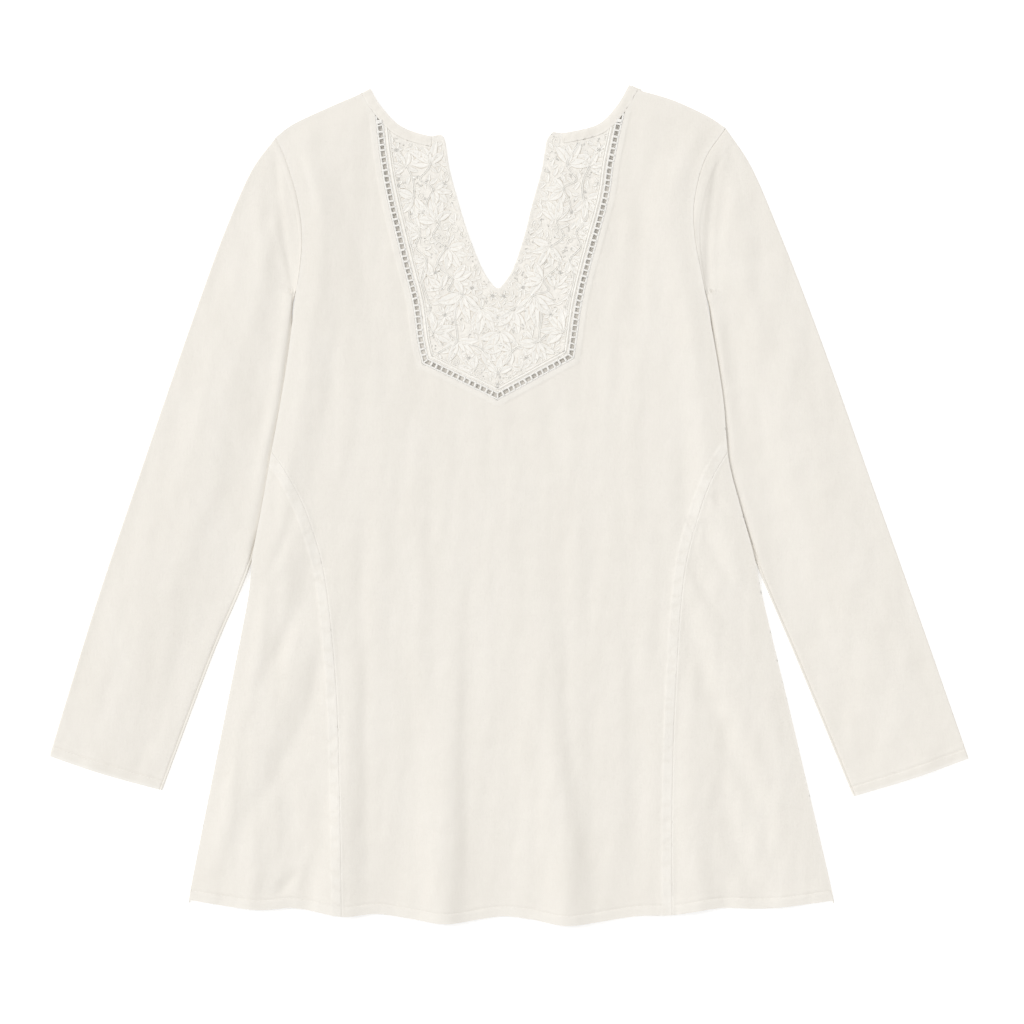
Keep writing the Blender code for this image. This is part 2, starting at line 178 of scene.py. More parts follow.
def split(line, cutter):
    """The two parts of a line on either side of its crossing with another."""
    for k, (a, b) in enumerate(zip(line, line[1:])):
        for c, d in zip(cutter, cutter[1:]):
            crossing = intersect_line_line_2d(*(Vector(p) for p in (a, b, c, d)))
            if crossing is not None:
                point = np.array(crossing)
                return [*line[: k + 1], point], [point, *line[k + 1 :]]
    raise ValueError("these lines don't cross")


def both_sides(rows):
    """The left and the right line of a table of pairs or of levels."""
    if isinstance(rows[0], Pair):
        return [row[:2] for row in rows], [row[2:] for row in rows]
    return [(row.left, row.y) for row in rows], [(row.right, row.y) for row in rows]


def joined(*lines):
    """Lines end to end, as one closed outline with no point twice."""
    outline = []
    for point in (np.array(point, float) for line in lines for point in line):
        if not outline or np.linalg.norm(point - outline[-1]) > CLEAR:
            outline.append(point)
    return outline[1:] if np.linalg.norm(outline[0] - outline[-1]) <= CLEAR else outline


def reader(line, axis):
    """Reads a line: at a height of the plan for axis 1, or at a place across it for axis 0."""
    points = np.array(sorted(line, key=lambda point: point[axis]))
    return lambda value: np.interp(value, points[:, axis], points[:, 1 - axis])


def soft(value):
    """From 0 to 1, with no corner at either end."""
    value = np.clip(value, 0.0, 1.0)
    return value * value * (3 - 2 * value)


def within(value, edge, blur):
    """1 short of an edge and 0 past it, with the step spread over a blur on either side."""
    return 1 - soft((value - edge + blur) / (2 * blur))


def hump(value, centre, spread):
    """A soft round ridge of height 1."""
    return np.exp(-(((value - centre) / spread) ** 2))


EDGE_STEP = 3.0
scoops = [smooth_line(line, EDGE_STEP) for line in both_sides(SCOOP)]
bindings = [beside(scoops[0], -BINDING_WIDTH), beside(scoops[1], BINDING_WIDTH)]
shoulders, armholes, sides = [], [], []
for binding, shoulder, armhole, side, end in zip(
    bindings, both_sides(SHOULDER), both_sides(ARMHOLE), both_sides(SIDE), both_sides([SIDE_END])
):
    shoulders.append(smooth_line([binding[0], *shoulder], EDGE_STEP))
    armholes.append(smooth_line([shoulder[-1], *armhole, side[0]], EDGE_STEP))
    sides.append(smooth_line([*side, *end], EDGE_STEP))
edge_at = [reader([*armhole, *side], 1) for armhole, side in zip(armholes, sides)]
shoulder_at = [reader(shoulder, 0) for shoulder in shoulders]


def in_from_side(x, y):
    return np.minimum(x - edge_at[0](y), edge_at[1](y) - x)


def below_shoulder(x, y):
    return np.where(x < 0, shoulder_at[0](x), shoulder_at[1](x)) - y


def lift(x, y):
    """How far the body rides up beside the armholes and over the tucked sleeves."""
    tip = np.where(x < 0, SHOULDER[-1].left_y, SHOULDER[-1].right_y)
    strip = 1 - soft((in_from_side(x, y) - TUCK_FLAT) / TUCK_RAMP)
    return TUCK * strip * soft((tip - y) / TUCK_TIP_RAMP) * soft((y - TUCK_LOW) / TUCK_LOW_RAMP)


def nearness(line, points, closed=False):
    """For each point, its distance from a line, how far along the line that is, and its side."""
    line = np.array(line)
    starts, ends = (line, np.roll(line, -1, axis=0)) if closed else (line[:-1], line[1:])
    runs = ends - starts
    lengths = np.linalg.norm(runs, axis=1)
    begun = np.concatenate(([0.0], np.cumsum(lengths)[:-1]))
    rows = []
    for block in np.array_split(points, max(1, len(points) * len(runs) // BLOCK)):
        reach = block[:, None] - starts
        share = np.clip((reach * runs).sum(axis=2) / lengths**2, 0, 1)
        off = reach - runs * share[..., None]
        gap = np.sqrt((off**2).sum(axis=2))
        best = gap.argmin(axis=1)
        row = np.arange(len(block))
        turn = runs[best, 0] * reach[row, best, 1] - runs[best, 1] * reach[row, best, 0]
        along = begun[best] + share[row, best] * lengths[best]
        rows.append(np.stack((gap[row, best], along, np.sign(turn)), axis=1))
    return np.concatenate(rows).T


def inside(outline, points):
    """Whether each point is inside a closed outline."""
    starts = np.array(outline)
    runs = np.roll(starts, -1, axis=0) - starts
    slope = runs[:, 0] / np.where(runs[:, 1] == 0, 1, runs[:, 1])
    found = []
    for block in np.array_split(points, max(1, len(points) * len(runs) // BLOCK)):
        y = block[:, 1:2]
        crossed = (starts[:, 1] > y) != (starts[:, 1] + runs[:, 1] > y)
        to_right = starts[:, 0] + slope * (y - starts[:, 1]) > block[:, :1]
        found.append((crossed & to_right).sum(axis=1) % 2 == 1)
    return np.concatenate(found)


def area_of(outline):
    x, y = np.array(outline).T
    return abs(np.dot(x, np.roll(y, -1)) - np.dot(y, np.roll(x, -1))) / 2 * MM * MM


def in_place(obj, material, slot, *nodes):
    """Gives a piece its finish and lets it ride on the body, in the stead of its plain nodes."""
    obj.data.materials.append(material)
    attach(obj, "root")
    if nodes:
        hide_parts(*nodes)
    return obj


def mesh_piece(name, points, faces, **marks):
    """A piece from points in millimetres. Each mark is a number at every point for its finish."""
    mesh = bpy.data.meshes.new(name)
    mesh.from_pydata((np.asarray(points) * MM).tolist(), [], faces)
    for mark, values in marks.items():
        layer = mesh.attributes.new(mark, "FLOAT", "POINT")
        layer.data.foreach_set("value", np.asarray(values, np.float32))
    mesh.shade_smooth()
    obj = bpy.data.objects.new(name, mesh)
    bpy.context.scene.collection.objects.link(obj)
    return obj


def crisp_edged(cloth):
    """Keeps the shading of a cloth's faces and of its cut edges apart."""
    cloth.data.set_sharp_from_angle(angle=math.radians(CRISP_ANGLE))
    return cloth


def rounded(depth, radius):
    """How far a rounded edge has fallen away at a depth in from it, less a narrow upright rim."""
    share = 1 - np.clip(depth / radius, 0, 1)
    return radius * ROUNDED_SHARE * (1 - np.sqrt(1 - share**2))


def cut_cloth(name, outline, spacing, under, over, rows=(), holes=(), lightening=None):
    """Cuts cloth to an outline, as a closed shell with rounded edges between two skins.

    under(x, y) is the height of its lower skin, and over(x, y, depth) what stands on that, at a
    depth in from the edge. The rows are lines that the net of the cloth follows. The last argument,
    a function of x and y, is how far its colour is lightened, besides along its edges, which are
    lightened too.
    """
    ring = [outline[-1], *outline, outline[0]]
    turn = sum(a[0] * b[1] - b[0] * a[1] for a, b in zip(ring, ring[1:]))
    rims = [beside(ring, math.copysign(inset, turn))[1:-1] for inset in RIM_INSETS]
    rim = np.array(rims[0])
    low, high = rim.min(axis=0), rim.max(axis=0)
    levels = np.arange(low[1], high[1], spacing * math.sqrt(0.75))
    net = [
        (x, y)
        for k, y in enumerate(levels)
        for x in np.arange(low[0] + k % 2 * spacing / 2, high[0], spacing)
    ]
    marked = np.array([point for line in (*rims[1:], *rows) for point in line])
    loose = np.concatenate((marked, net))
    gap = nearness(rim, loose, closed=True)[0]
    clear = max(spacing * CROWDED, NET_CLEAR)
    wanted = np.where(np.arange(len(loose)) < len(marked), RIM_CLEAR, clear)
    kept = inside(rim, loose) & (gap > wanted)
    if rows:
        crowd = np.concatenate([np.array(line) for line in rows])
        for row in np.array_split(crowd, max(1, len(crowd) * len(loose) // (2 * BLOCK))):
            spread = np.abs(loose[:, None] - row).max(axis=2).min(axis=1)
            kept[len(marked) :] &= (spread > spacing * CROWDED)[len(marked) :]
    loops = [rim, *map(np.array, holes)]
    for hole in loops[1:]:
        kept &= ~inside(hole, loose)
    starts = np.cumsum([0, *map(len, loops)])
    faces = [list(range(a, b)) for a, b in zip(starts, starts[1:])]
    points = [Vector(point) for point in np.concatenate((*loops, loose[kept]))]
    flat, _, triangles, _, _, parents = delaunay_2d_cdt(points, [], faces, 1, 0.001)
    keep = [k for k, parent in enumerate(parents) if max(parent, default=0) == 0]
    triangles = np.array([triangles[k] for k in keep])
    used, renamed = np.unique(triangles, return_inverse=True)
    triangles = renamed.reshape(-1, 3)
    plan = np.array([flat[k] for k in used])
    x, y = plan.T
    depth = np.min([nearness(loop, plan, closed=True)[0] for loop in loops], axis=0)
    floor, wall = under(x, y), over(x, y, depth)
    falls = rounded(depth, EDGE_ROUND)
    skins = [np.stack((x, y, z), axis=1) for z in (floor + falls, floor + wall - falls)]
    pairs = np.concatenate([triangles[:, [a, (a + 1) % 3]] for a in range(3)])
    count = len(plan)
    lone = ~np.isin(pairs[:, 0] * count + pairs[:, 1], pairs[:, 1] * count + pairs[:, 0])
    a, b = pairs[lone].T
    walls = np.stack((b + count, a + count, a, b), axis=1)
    polygons = [*triangles[:, ::-1].tolist(), *(triangles + count).tolist(), *walls.tolist()]
    # The colour is lightened along the cut edges.
    worn = 0.5 * hump(depth, 0.0, 1.6)
    if lightening:
        worn = np.maximum(worn, lightening(x, y))
    return crisp_edged(mesh_piece(name, np.concatenate(skins), polygons, worn=np.tile(worn, 2)))


def add_node(tree, kind, **settings):
    """A shader node with some inputs set to a value or joined to an output."""
    node = tree.nodes.new("ShaderNode" + kind)
    for name, value in settings.items():
        if hasattr(node, name):
            setattr(node, name, value)
            continue
        socket = node.inputs[int(name[1:])] if name[0] == "_" else node.inputs[name]
        if isinstance(value, bpy.types.NodeSocket):
            tree.links.new(value, socket)
        else:
            socket.default_value = value
    return node


def grain(tree, place, across, along, detail=2.0):
    """Noise whose grains are so many millimetres across and along."""
    scale = (1 / across / MM, 1 / along / MM, 60.0)
    stretched = add_node(tree, "Mapping", Vector=place, Scale=scale)
    return add_node(
        tree, "TexNoise", Vector=stretched.outputs[0], Scale=1.0, Detail=detail
    ).outputs["Fac"]


def new_finish(name, **settings):
    """A material whose shader has these settings, with its node tree and its shader."""
    material = bpy.data.materials.new(name)
    material.use_nodes = True
    shader = material.node_tree.nodes["Principled BSDF"]
    for setting, value in settings.items():
        shader.inputs[setting.replace("_", " ")].default_value = value
    return material, material.node_tree, shader


def weighed(tree, value, weight, more):
    """A value times its weight, on top of more."""
    return add_node(
        tree, "Math", operation="MULTIPLY_ADD", _0=value, _1=weight, _2=more
    ).outputs[0]


def blended(tree, amount, first, second):
    """From the first colour to the second by an amount. Each is a colour or an output."""
    pair = [c if isinstance(c, bpy.types.NodeSocket) else (*c, 1) for c in (first, second)]
    return add_node(tree, "Mix", data_type="RGBA", _0=amount, _6=pair[0], _7=pair[1]).outputs[2]


def bumped(tree, distance, height, **under):
    """Relief so many millimetres deep."""
    return add_node(
        tree, "Bump", Strength=1.0, Distance=distance * MM, Height=height, **under
    ).outputs[0]


def washed_cotton(name, colour, shade, worn, weave=0.10, crinkle=0.30):
    """Matt plain-weave cotton: fine threads, slubs along and across, and a soft crinkle."""
    material, tree, shader = new_finish(
        name, Roughness=0.88, Specular_IOR_Level=0.25, Sheen_Weight=0.12, Sheen_Roughness=0.45
    )
    place = add_node(tree, "TexCoord").outputs["Object"]
    slubs = grain(tree, place, 1.2, 9.0)
    wefts = grain(tree, place, 8.0, 1.1)
    clouds = grain(tree, place, 34.0, 60.0, 3.0)
    crumple = grain(tree, place, 6.5, 8.5, 3.0)

    mottle = weighed(tree, wefts, 0.35, weighed(tree, slubs, 0.55, clouds))
    amount = add_node(tree, "MapRange", _0=mottle, _1=0.6, _2=1.3).outputs[0]
    # This mark lightens the colour towards the lighter ivory: along cut edges, hems and turned
    # strips, and as painted highlight on the raised seam strips.
    worn_mark = add_node(tree, "Attribute", attribute_name="worn").outputs["Fac"]
    lightening = add_node(tree, "Math", operation="MULTIPLY", _0=worn_mark, _1=0.75).outputs[0]
    lightened_colour = blended(tree, lightening, blended(tree, amount, colour, shade), worn)
    tree.links.new(lightened_colour, shader.inputs["Base Color"])

    threads = []
    for direction in ("X", "Y"):
        wave = add_node(
            tree,
            "TexWave",
            bands_direction=direction,
            Vector=place,
            Scale=2 * math.pi / 20 / (THREAD_PITCH * MM),
            Distortion=0.6,
        )
        threads.append(wave.outputs["Fac"])
    crossed = add_node(tree, "Math", operation="MULTIPLY", _0=threads[0], _1=threads[1])
    fine = weighed(tree, wefts, 0.8, weighed(tree, slubs, 1.2, crossed.outputs[0]))
    soft_bump = bumped(tree, crinkle, crumple, Normal=bumped(tree, weave, fine))
    tree.links.new(soft_bump, shader.inputs["Normal"])
    return material


# A crease is a soft ridge, or a trough where its height is below 0. It fades out at both ends
# and bows to its left by a distance.
Crease = namedtuple("Crease", "x0 y0 x1 y1 high spread bow")


def creased(x, y, creases):
    total = np.zeros_like(x)
    for c in creases:
        run = np.array((c.x1 - c.x0, c.y1 - c.y0))
        length = np.linalg.norm(run)
        along = ((x - c.x0) * run[0] + (y - c.y0) * run[1]) / length**2
        across = (run[0] * (y - c.y0) - run[1] * (x - c.x0)) / length
        share = np.clip(along, 0, 1)
        fade = np.sin(np.pi * share) ** 0.7
        total += c.high * fade * hump(across, c.bow * 4 * share * (1 - share), c.spread)
    return total


def rumpled(x, y, seed, depth, lengths=(9.0, 42.0), count=46, upright=0.75):
    """A random gentle rumple: many small waves whose crests mostly run along the garment."""
    chance = np.random.default_rng(seed)
    total = np.zeros_like(x)
    for _ in range(count):
        length = chance.uniform(*lengths)
        heading = chance.normal(0.0, 1.0 - upright) + (chance.random() < 0.22) * math.pi / 2
        phase = chance.uniform(0, 2 * math.pi)
        wave = 2 * math.pi / length
        total += length * np.sin(wave * (x * math.cos(heading) + y * math.sin(heading)) + phase)
    return depth * total / math.sqrt(count) / lengths[1]


BACK_CREASES = (
    Crease(-120, 150, -165, -60, 0.5, 6, 6),
    Crease(-40, 60, -72, -240, 0.6, 9, -8),
    Crease(30, 120, 62, -180, -0.5, 8, 6),
    Crease(120, 180, 150, 20, 0.4, 5, -5),
    Crease(95, -60, 128, -330, 0.6, 9, 8),
    Crease(-150, -120, -178, -330, -0.5, 8, -5),
)

back_hem = smooth_line(BACK_HEM, EDGE_STEP)
neck_left, neck_right = both_sides(BACK_NECK)
back_neck = smooth_line([*neck_left, BACK_NECK_END, *neck_right[::-1]], EDGE_STEP)
back_neck_outside = beside(back_neck, -BINDING_WIDTH)
back_outline = joined(
    back_neck_outside,
    shoulders[1][1:],
    armholes[1],
    sides[1],
    back_hem[::-1],
    sides[0][::-1],
    armholes[0][::-1],
    shoulders[0][:0:-1],
)
BACK_RELIEF = 0.35  # the back is only a little uneven, since the table keeps it flat


def back_wall(x, y, depth):
    settled = soft(depth / 18.0)
    creases = creased(x, y, BACK_CREASES) + rumpled(x, y, 4, 0.5)
    hem = y - np.interp(x, *np.array(back_hem).T)
    return CLOTH + BACK_RELIEF * settled * creases + 0.25 * hump(hem, 9.5, 1.2)


back_cotton = washed_cotton("back_cotton", IVORY, IVORY_SHADE, IVORY_LIGHTER)
back = cut_cloth("back_cloth", back_outline, 6.0, lift, back_wall)
in_place(back, back_cotton, "cotton", "back_panel")
area_of(back_outline)


# ---------------------------------------------------------------------------------------------
# The back neck binding: a narrow folded strip of the same cotton, stitched round the V.
# ---------------------------------------------------------------------------------------------

neck_bound = joined(back_neck, back_neck_outside[::-1])


def binding_pad(x, y, depth):
    return CLOTH + 0.25 * soft(depth / 2.5)


binding_cotton = washed_cotton(
    "binding_cotton", IVORY, IVORY_SHADE, IVORY_LIGHTER, weave=0.08, crinkle=0.25
)
back_binding = cut_cloth("back_binding", neck_bound, 2.6, lift, binding_pad)
in_place(back_binding, binding_cotton, "binding", "back_neck_binding")
strip_length = run_along(back_neck)[-1] * MM
area_of(neck_bound)


# ---------------------------------------------------------------------------------------------
# The front panel: one piece of the same cotton, cut in a U round the yoke. It floats a little
# over the back and falls into soft flutes towards the hem, which is turned up and stitched.
# ---------------------------------------------------------------------------------------------

EASE = 1.8
EASE_RAMP = 22.0
YOKE_MIDDLE = Place(-9.0, 238.0)  # the oval over which the yoke has settled closer to the back
YOKE_REACH = Place(112.0, 165.0)
YOKE_SETTLES = 1.5
YOKE_RAMP = 0.4
RIDGE_END = 30.0
LADDER_WIDTH = 7.0
HEM_DEPTH = 8.8
HEM_FOLD = 0.7
HEM_REACH = 16.0  # how far up a hem's turning shapes the cloth
STITCH_PITCH = 3.4
STITCH_LENGTH = 2.5
STITCH_THREAD = 0.2

HEM = (
    Place(-292.6, -363.4),
    Place(-234.0, -371.6),
    Place(-197.0, -370.4),
    Place(-153.6, -377.6),
    Place(-122.0, -375.6),
    Place(-92.0, -379.6),
    Place(-55.2, -384.2),
    Place(-8.0, -378.0),
    Place(20.0, -380.4),
    Place(57.0, -385.8),
    Place(117.0, -377.8),
    Place(150.0, -376.7),
    Place(194.0, -370.3),
    Place(240.0, -370.6),
    Place(296.6, -363.8),
)
PANEL_SEAM = (
    Level(57.0, -224.0, 206.5),
    Level(26.2, -202.4, 187.3),
    Level(-13.3, -184.0, 173.0),
    Level(-68.5, -169.3, 160.5),
    Level(-164.2, -159.2, 153.5),
    Level(-270.0, -155.5, 150.0),
    Level(-395.0, -153.4, 150.0),
)
LADDER = (
    Level(371.0, -121.0, 105.0),
    Level(318.0, -115.0, 93.8),
    Level(282.0, -108.6, 88.3),
    Level(224.0, -94.8, 72.7),
    Level(187.2, -85.6, 64.1),
    Level(152.3, -81.0, 59.1),
)
LADDER_CORNER = Pair(-76.8, 132.9, 57.0, 137.5)
LADDER_POINT = Place(-10.5, 100.7)

# The flutes and folds that the whole front takes, as its solids have them.
Ridge = namedtuple("Ridge", "x0 y0 high0 x1 y1 high1 right left")
RIDGES = (
    Ridge(-144, -40, 0.0, -155, -380, 6.5, 24, 20),
    Ridge(-50, -80, 0.0, -59, -388, 8.5, 26, 17),
    Ridge(22, -30, 0.0, 58, -388, 8.0, 30, 20),
    Ridge(163, -120, 0.0, 172, -378, 4.0, 22, 18),
    Ridge(-214, -200, 0.0, -236, -374, 4.0, 22, 22),
    Ridge(-186, -128, 2.6, -262, -300, 1.5, 15, 15),
    Ridge(-196, -30, 2.2, -236, -165, 1.4, 14, 14),
    Ridge(176, -90, 2.4, 250, -300, 1.6, 15, 15),
    Ridge(-178, 300, 1.4, -176, 205, 0.8, 12, 12),
    Ridge(158, 300, 1.4, 156, 205, 0.8, 12, 12),
)

# The creases over those, from the shoulders down to the hem.
FRONT_CREASES = (
    Crease(-197, 330, -182, 262, -0.8, 3.5, 4),
    Crease(-172, 330, -150, 210, 0.35, 7, 8),
    Crease(-158, 300, -128, 120, -0.30, 6, 10),
    Crease(-196, 240, -180, 110, 0.45, 5, -6),
    Crease(-182, 235, -150, 90, -0.35, 6, -9),
    Crease(148, 330, 128, 190, 0.35, 7, -8),
    Crease(158, 340, 146, 150, -0.9, 16, 0),
    Crease(138, 290, 108, 100, -0.30, 7, -10),
    Crease(172, 232, 150, 96, 0.40, 5, 6),
    Crease(128, 120, 96, -60, 0.25, 9, 8),
    Crease(-120, 128, -92, -40, 0.30, 8, -9),
    Crease(-40, 92, -58, -90, 0.25, 7, 6),
    Crease(24, 88, 46, -110, -0.30, 8, -7),
    Crease(-137, -30, -133, -372, -1.4, 6.5, 3),
    Crease(-38, -60, -37, -375, -1.6, 6.5, -3),
    Crease(-84, -130, -96, -372, -0.60, 11, 5),
    Crease(22, -190, 25, -378, -0.60, 8, 3),
    Crease(47, -55, 80, -372, -0.95, 7, -8),
    Crease(112, -120, 118, -372, -0.55, 10, 5),
    Crease(-14, -150, -8, -374, 0.45, 9, 3),
    Crease(84, -170, 96, -370, 0.45, 8, 4),
    Crease(136, -60, 134, -300, 0.40, 6, -4),
    Crease(-116, -200, -120, -372, 0.50, 7, -3),
)

SIDE_CREASES = (
    Crease(187, 12, 202, -8, -0.8, 4, 0),
    Crease(178, -12, 222, -90, -1.0, 6, -6),
    Crease(168, -48, 198, -104, -0.9, 6, -4),
    Crease(166, -90, 246, -300, -1.0, 9, -12),
    Crease(190, -70, 262, -240, 0.5, 9, -10),
    Crease(-170, -134, -248, -300, -0.9, 9, 10),
    Crease(-183, -50, -240, -180, -0.9, 7, 7),
    Crease(-198, 0, -226, -70, -0.7, 5, 4),
    Crease(-192, -332, -216, -359, -1.0, 5, 2),
    Crease(-176, -300, -200, -352, 0.5, 6, 2),
    Crease(-250, -180, -272, -340, 0.5, 9, 4),
    Crease(196, -250, 232, -368, -0.8, 10, -6),
    Crease(214, -260, 256, -366, 0.5, 9, -6),
)
FRONT_RUMPLE = 0.62


def ridge_at(x, y, ridge):
    run = np.array((ridge.x1 - ridge.x0, ridge.y1 - ridge.y0))
    length = np.linalg.norm(run)
    along = ((x - ridge.x0) * run[0] + (y - ridge.y0) * run[1]) / length
    across = (run[0] * (y - ridge.y0) - run[1] * (x - ridge.x0)) / length
    past = np.maximum(np.maximum(-along, along - length), 0.0)
    height = ridge.high0 + (ridge.high1 - ridge.high0) * soft(along / length)
    spread = np.where(across > 0, ridge.left, ridge.right)
    return height * np.exp(-((across / spread) ** 2) - (past / RIDGE_END) ** 2)


def free_of_edges(x, y):
    return soft(in_from_side(x, y) / EASE_RAMP) * soft(below_shoulder(x, y) / EASE_RAMP)


def front_floor(x, y):
    """The height of the front's lower skin over the table, with its flutes and creases."""
    from_yoke = np.hypot((x - YOKE_MIDDLE.x) / YOKE_REACH.x, (y - YOKE_MIDDLE.y) / YOKE_REACH.y)
    settled = YOKE_SETTLES * (1 - soft((from_yoke - 1) / YOKE_RAMP))
    relief = EASE - settled + sum(ridge_at(x, y, ridge) for ridge in RIDGES)
    relief = relief + creased(x, y, FRONT_CREASES) + 2.0 * creased(x, y, SIDE_CREASES)
    beside_waist = soft((np.abs(x) - 130.0) / 60.0) * soft((100.0 - y) / 120.0)
    relief = relief + rumpled(x, y, 7, FRONT_RUMPLE) * (1 + 0.3 * beside_waist)
    return lift(x, y) + CLOTH + CLEAR + free_of_edges(x, y) * relief


hem = smooth_line(HEM, EDGE_STEP)
hem_points = np.array(hem)


def above_hem(x, y):
    return y - np.interp(x, *hem_points.T)


def hem_relief(up, strain):
    """The turned hem: a doubled band, a stitched groove, and a soft roll above the stitches."""
    band = HEM_FOLD * within(up, HEM_DEPTH, 0.6)
    return band - 0.32 * hump(up, HEM_DEPTH, 0.8) + 0.30 * hump(up, HEM_DEPTH + 2.6, 1.9) + strain


def puckers(along, across, reach, pitch, seed):
    """Short creases drawn across a sewn strip, uneven in place, slant, width and depth."""
    chance = np.random.default_rng(seed)
    centre, total = 0.0, np.zeros_like(along)
    while centre < along.max() + pitch:
        centre += pitch * chance.uniform(0.45, 1.6)
        slant, width = chance.normal(0.0, 0.45), chance.uniform(1.2, 2.8)
        total += chance.uniform(0.25, 1.0) * hump(along, centre + slant * across, width)
    return total * soft((reach - across) / (reach * 0.35)) * soft(across / 1.2 + 0.4)


def hem_lightening(x, y):
    """The turned hem is lighter than the cloth above it."""
    return 0.2 * within(above_hem(x, y), HEM_DEPTH, 0.8)


def hem_pull(x, up, seed):
    """Small slanting puckers in the hem, where the stitching has drawn the turning up."""
    return -0.38 * puckers(x - x.min(), np.maximum(up, 0), HEM_DEPTH + 3, 13.0, seed)


ladder_left, ladder_right = both_sides(LADDER)
corner_left, corner_right = (LADDER_CORNER[:2], LADDER_CORNER[2:])
ladder = joined(
    smooth_line([*ladder_left, corner_left], EDGE_STEP),
    smooth_line([corner_left, LADDER_POINT], EDGE_STEP),
    smooth_line([LADDER_POINT, corner_right], EDGE_STEP),
    smooth_line([*ladder_right, corner_right], EDGE_STEP)[::-1],
)
ladder_lines = [beside(ladder, side * LADDER_WIDTH / 2) for side in (-1, 1)]
ladder_outside, ladder_inside = (
    split(split(line, bindings[0])[1], bindings[1])[0] for line in ladder_lines
)

seams = [smooth_line(line, EDGE_STEP) for line in both_sides(PANEL_SEAM)]
hem_left, rest = split(hem, seams[0])
hem_middle, hem_right = split(rest, seams[1])
over_seam, beside_seam = zip(*(split(side, seam) for side, seam in zip(sides, seams)))
seams = [split(split(seam, side)[1], hem)[0] for seam, side in zip(seams, sides)]
by_ladder = [split(line, ladder_lines[0])[0] for line in bindings]
front_outline = joined(
    by_ladder[0],
    ladder_outside,
    by_ladder[1][::-1],
    shoulders[1],
    armholes[1],
    over_seam[1],
    seams[1],
    hem_middle[::-1],
    seams[0][::-1],
    over_seam[0][::-1],
    armholes[0][::-1],
    shoulders[0][::-1],
)


def side_roll(x, y):
    """How far the front turns down along the side edges, below the arms."""
    return 0.5 * (1 - soft(in_from_side(x, y) / 5.0)) * (y < armholes[0][-1][1])


YOKE_TURNING = 5.2  # the front's turned edge round the ladder
SEAM_ROLL = 1.2
TURNING = 9.4  # the turnings under a side panel's seam
ARMHOLE_TURNING = (10.5, 4.0)


def seam_roll(gap, along, seed):
    """The cloth on the flat side of a seam: a fine roll along it, with faint puckers."""
    roll = 0.22 * hump(gap, SEAM_ROLL, 0.8) - 0.12 * hump(gap, 4.2, 1.4)
    return roll - 0.20 * puckers(along, gap, 9.0, 14.0, seed)


def pressed_strip(gap, along, seed):
    """The turnings pressed to one side under a seam: a raised strip, drawn into puckers."""
    strip = 0.50 * within(gap, TURNING, 1.0) * soft(gap / 1.2 + 0.3)
    strip += 0.12 * hump(gap, TURNING - 1.5, 1.2)
    return strip - 0.48 * puckers(along, gap, TURNING + 2.5, 12.0, seed)


def strip_highlight(gap, along, seed):
    """Painted highlight on the high places between those puckers."""
    low = puckers(along, gap, TURNING + 2.5, 12.0, seed)
    return 0.42 * within(gap, TURNING - 0.2, 1.2) * np.clip(1 - 2.2 * low, 0, 1)


def front_wall(x, y, depth):
    plan = np.stack((x, y), axis=1)
    up = above_hem(x, y)
    relief = np.where(up < HEM_REACH, hem_relief(up, hem_pull(x, up, 31)), 0.0)
    wall = CLOTH - side_roll(x, y) + relief
    gap, along, _ = nearness(ladder_outside, plan)
    strip = 0.45 * within(gap, YOKE_TURNING, 0.7)
    wall += strip - 0.30 * puckers(along, gap, YOKE_TURNING + 5, 9.0, 12)
    for k, armhole in enumerate(armholes):
        gap, along, _ = nearness(armhole, plan)
        turning = ARMHOLE_TURNING[k]
        wall += 0.42 * within(gap, turning, 1.2)
        wall -= 0.22 * puckers(along, gap, turning + 4, 15.0, 50 + k)
    wall += seam_roll(*nearness(seams[0], plan)[:2], 60)
    return wall + pressed_strip(*nearness(seams[1], plan)[:2], 61)


# How far the front's colour is lightened: along the hem, along the turned strip by the braid, and
# as painted highlight on the raised strip by the right seam.
def front_lightening(x, y):
    plan = np.stack((x, y), axis=1)
    gap, along, _ = nearness(seams[1], plan)
    by_braid = nearness(ladder_outside, plan)[0]
    turned = 0.35 * within(by_braid, YOKE_TURNING, 0.7)
    return np.maximum(np.maximum(hem_lightening(x, y), turned), strip_highlight(gap, along, 61))


HEM_UPS = (1.6, 3.6, 5.8, 7.4, 8.2, 8.8, 9.4, 10.4, 11.6, 13.2, 15)
hem_rows = [[(x, y + up) for x, y in hem] for up in HEM_UPS]
STRIP_ROWS = (1.2, 2.0, 3.2, 4.6, 6, 7.4, 8.4, 9.2, 10, 11.2, 13)
front_rows = [
    *hem_rows,
    *(beside(seams[0], gap) for gap in (1.2, 2.0, 4.2, 6)),
    *(beside(seams[1], -gap) for gap in STRIP_ROWS),
    *(beside(ladder_outside, -gap) for gap in (1.6, 2.6, 3.8, 4.6, 5.2, 5.9, 7.2)),
]

front_cotton = washed_cotton("front_cotton", IVORY, IVORY_SHADE, IVORY_LIGHTER)
front = cut_cloth(
    "front_cloth", front_outline, 3.4, front_floor, front_wall, front_rows, lightening=front_lightening
)
in_place(front, front_cotton, "cotton", "front_panel")

# A stitch's rings: how far along it each lies, and its radius and rise in radii of the thread.
STITCH_RINGS = (
    (0, 0.35, -0.9),
    (0.14, 0.85, -0.2),
    (0.5, 1, 0.25),
    (0.86, 0.85, -0.2),
    (1, 0.35, -0.9),
)


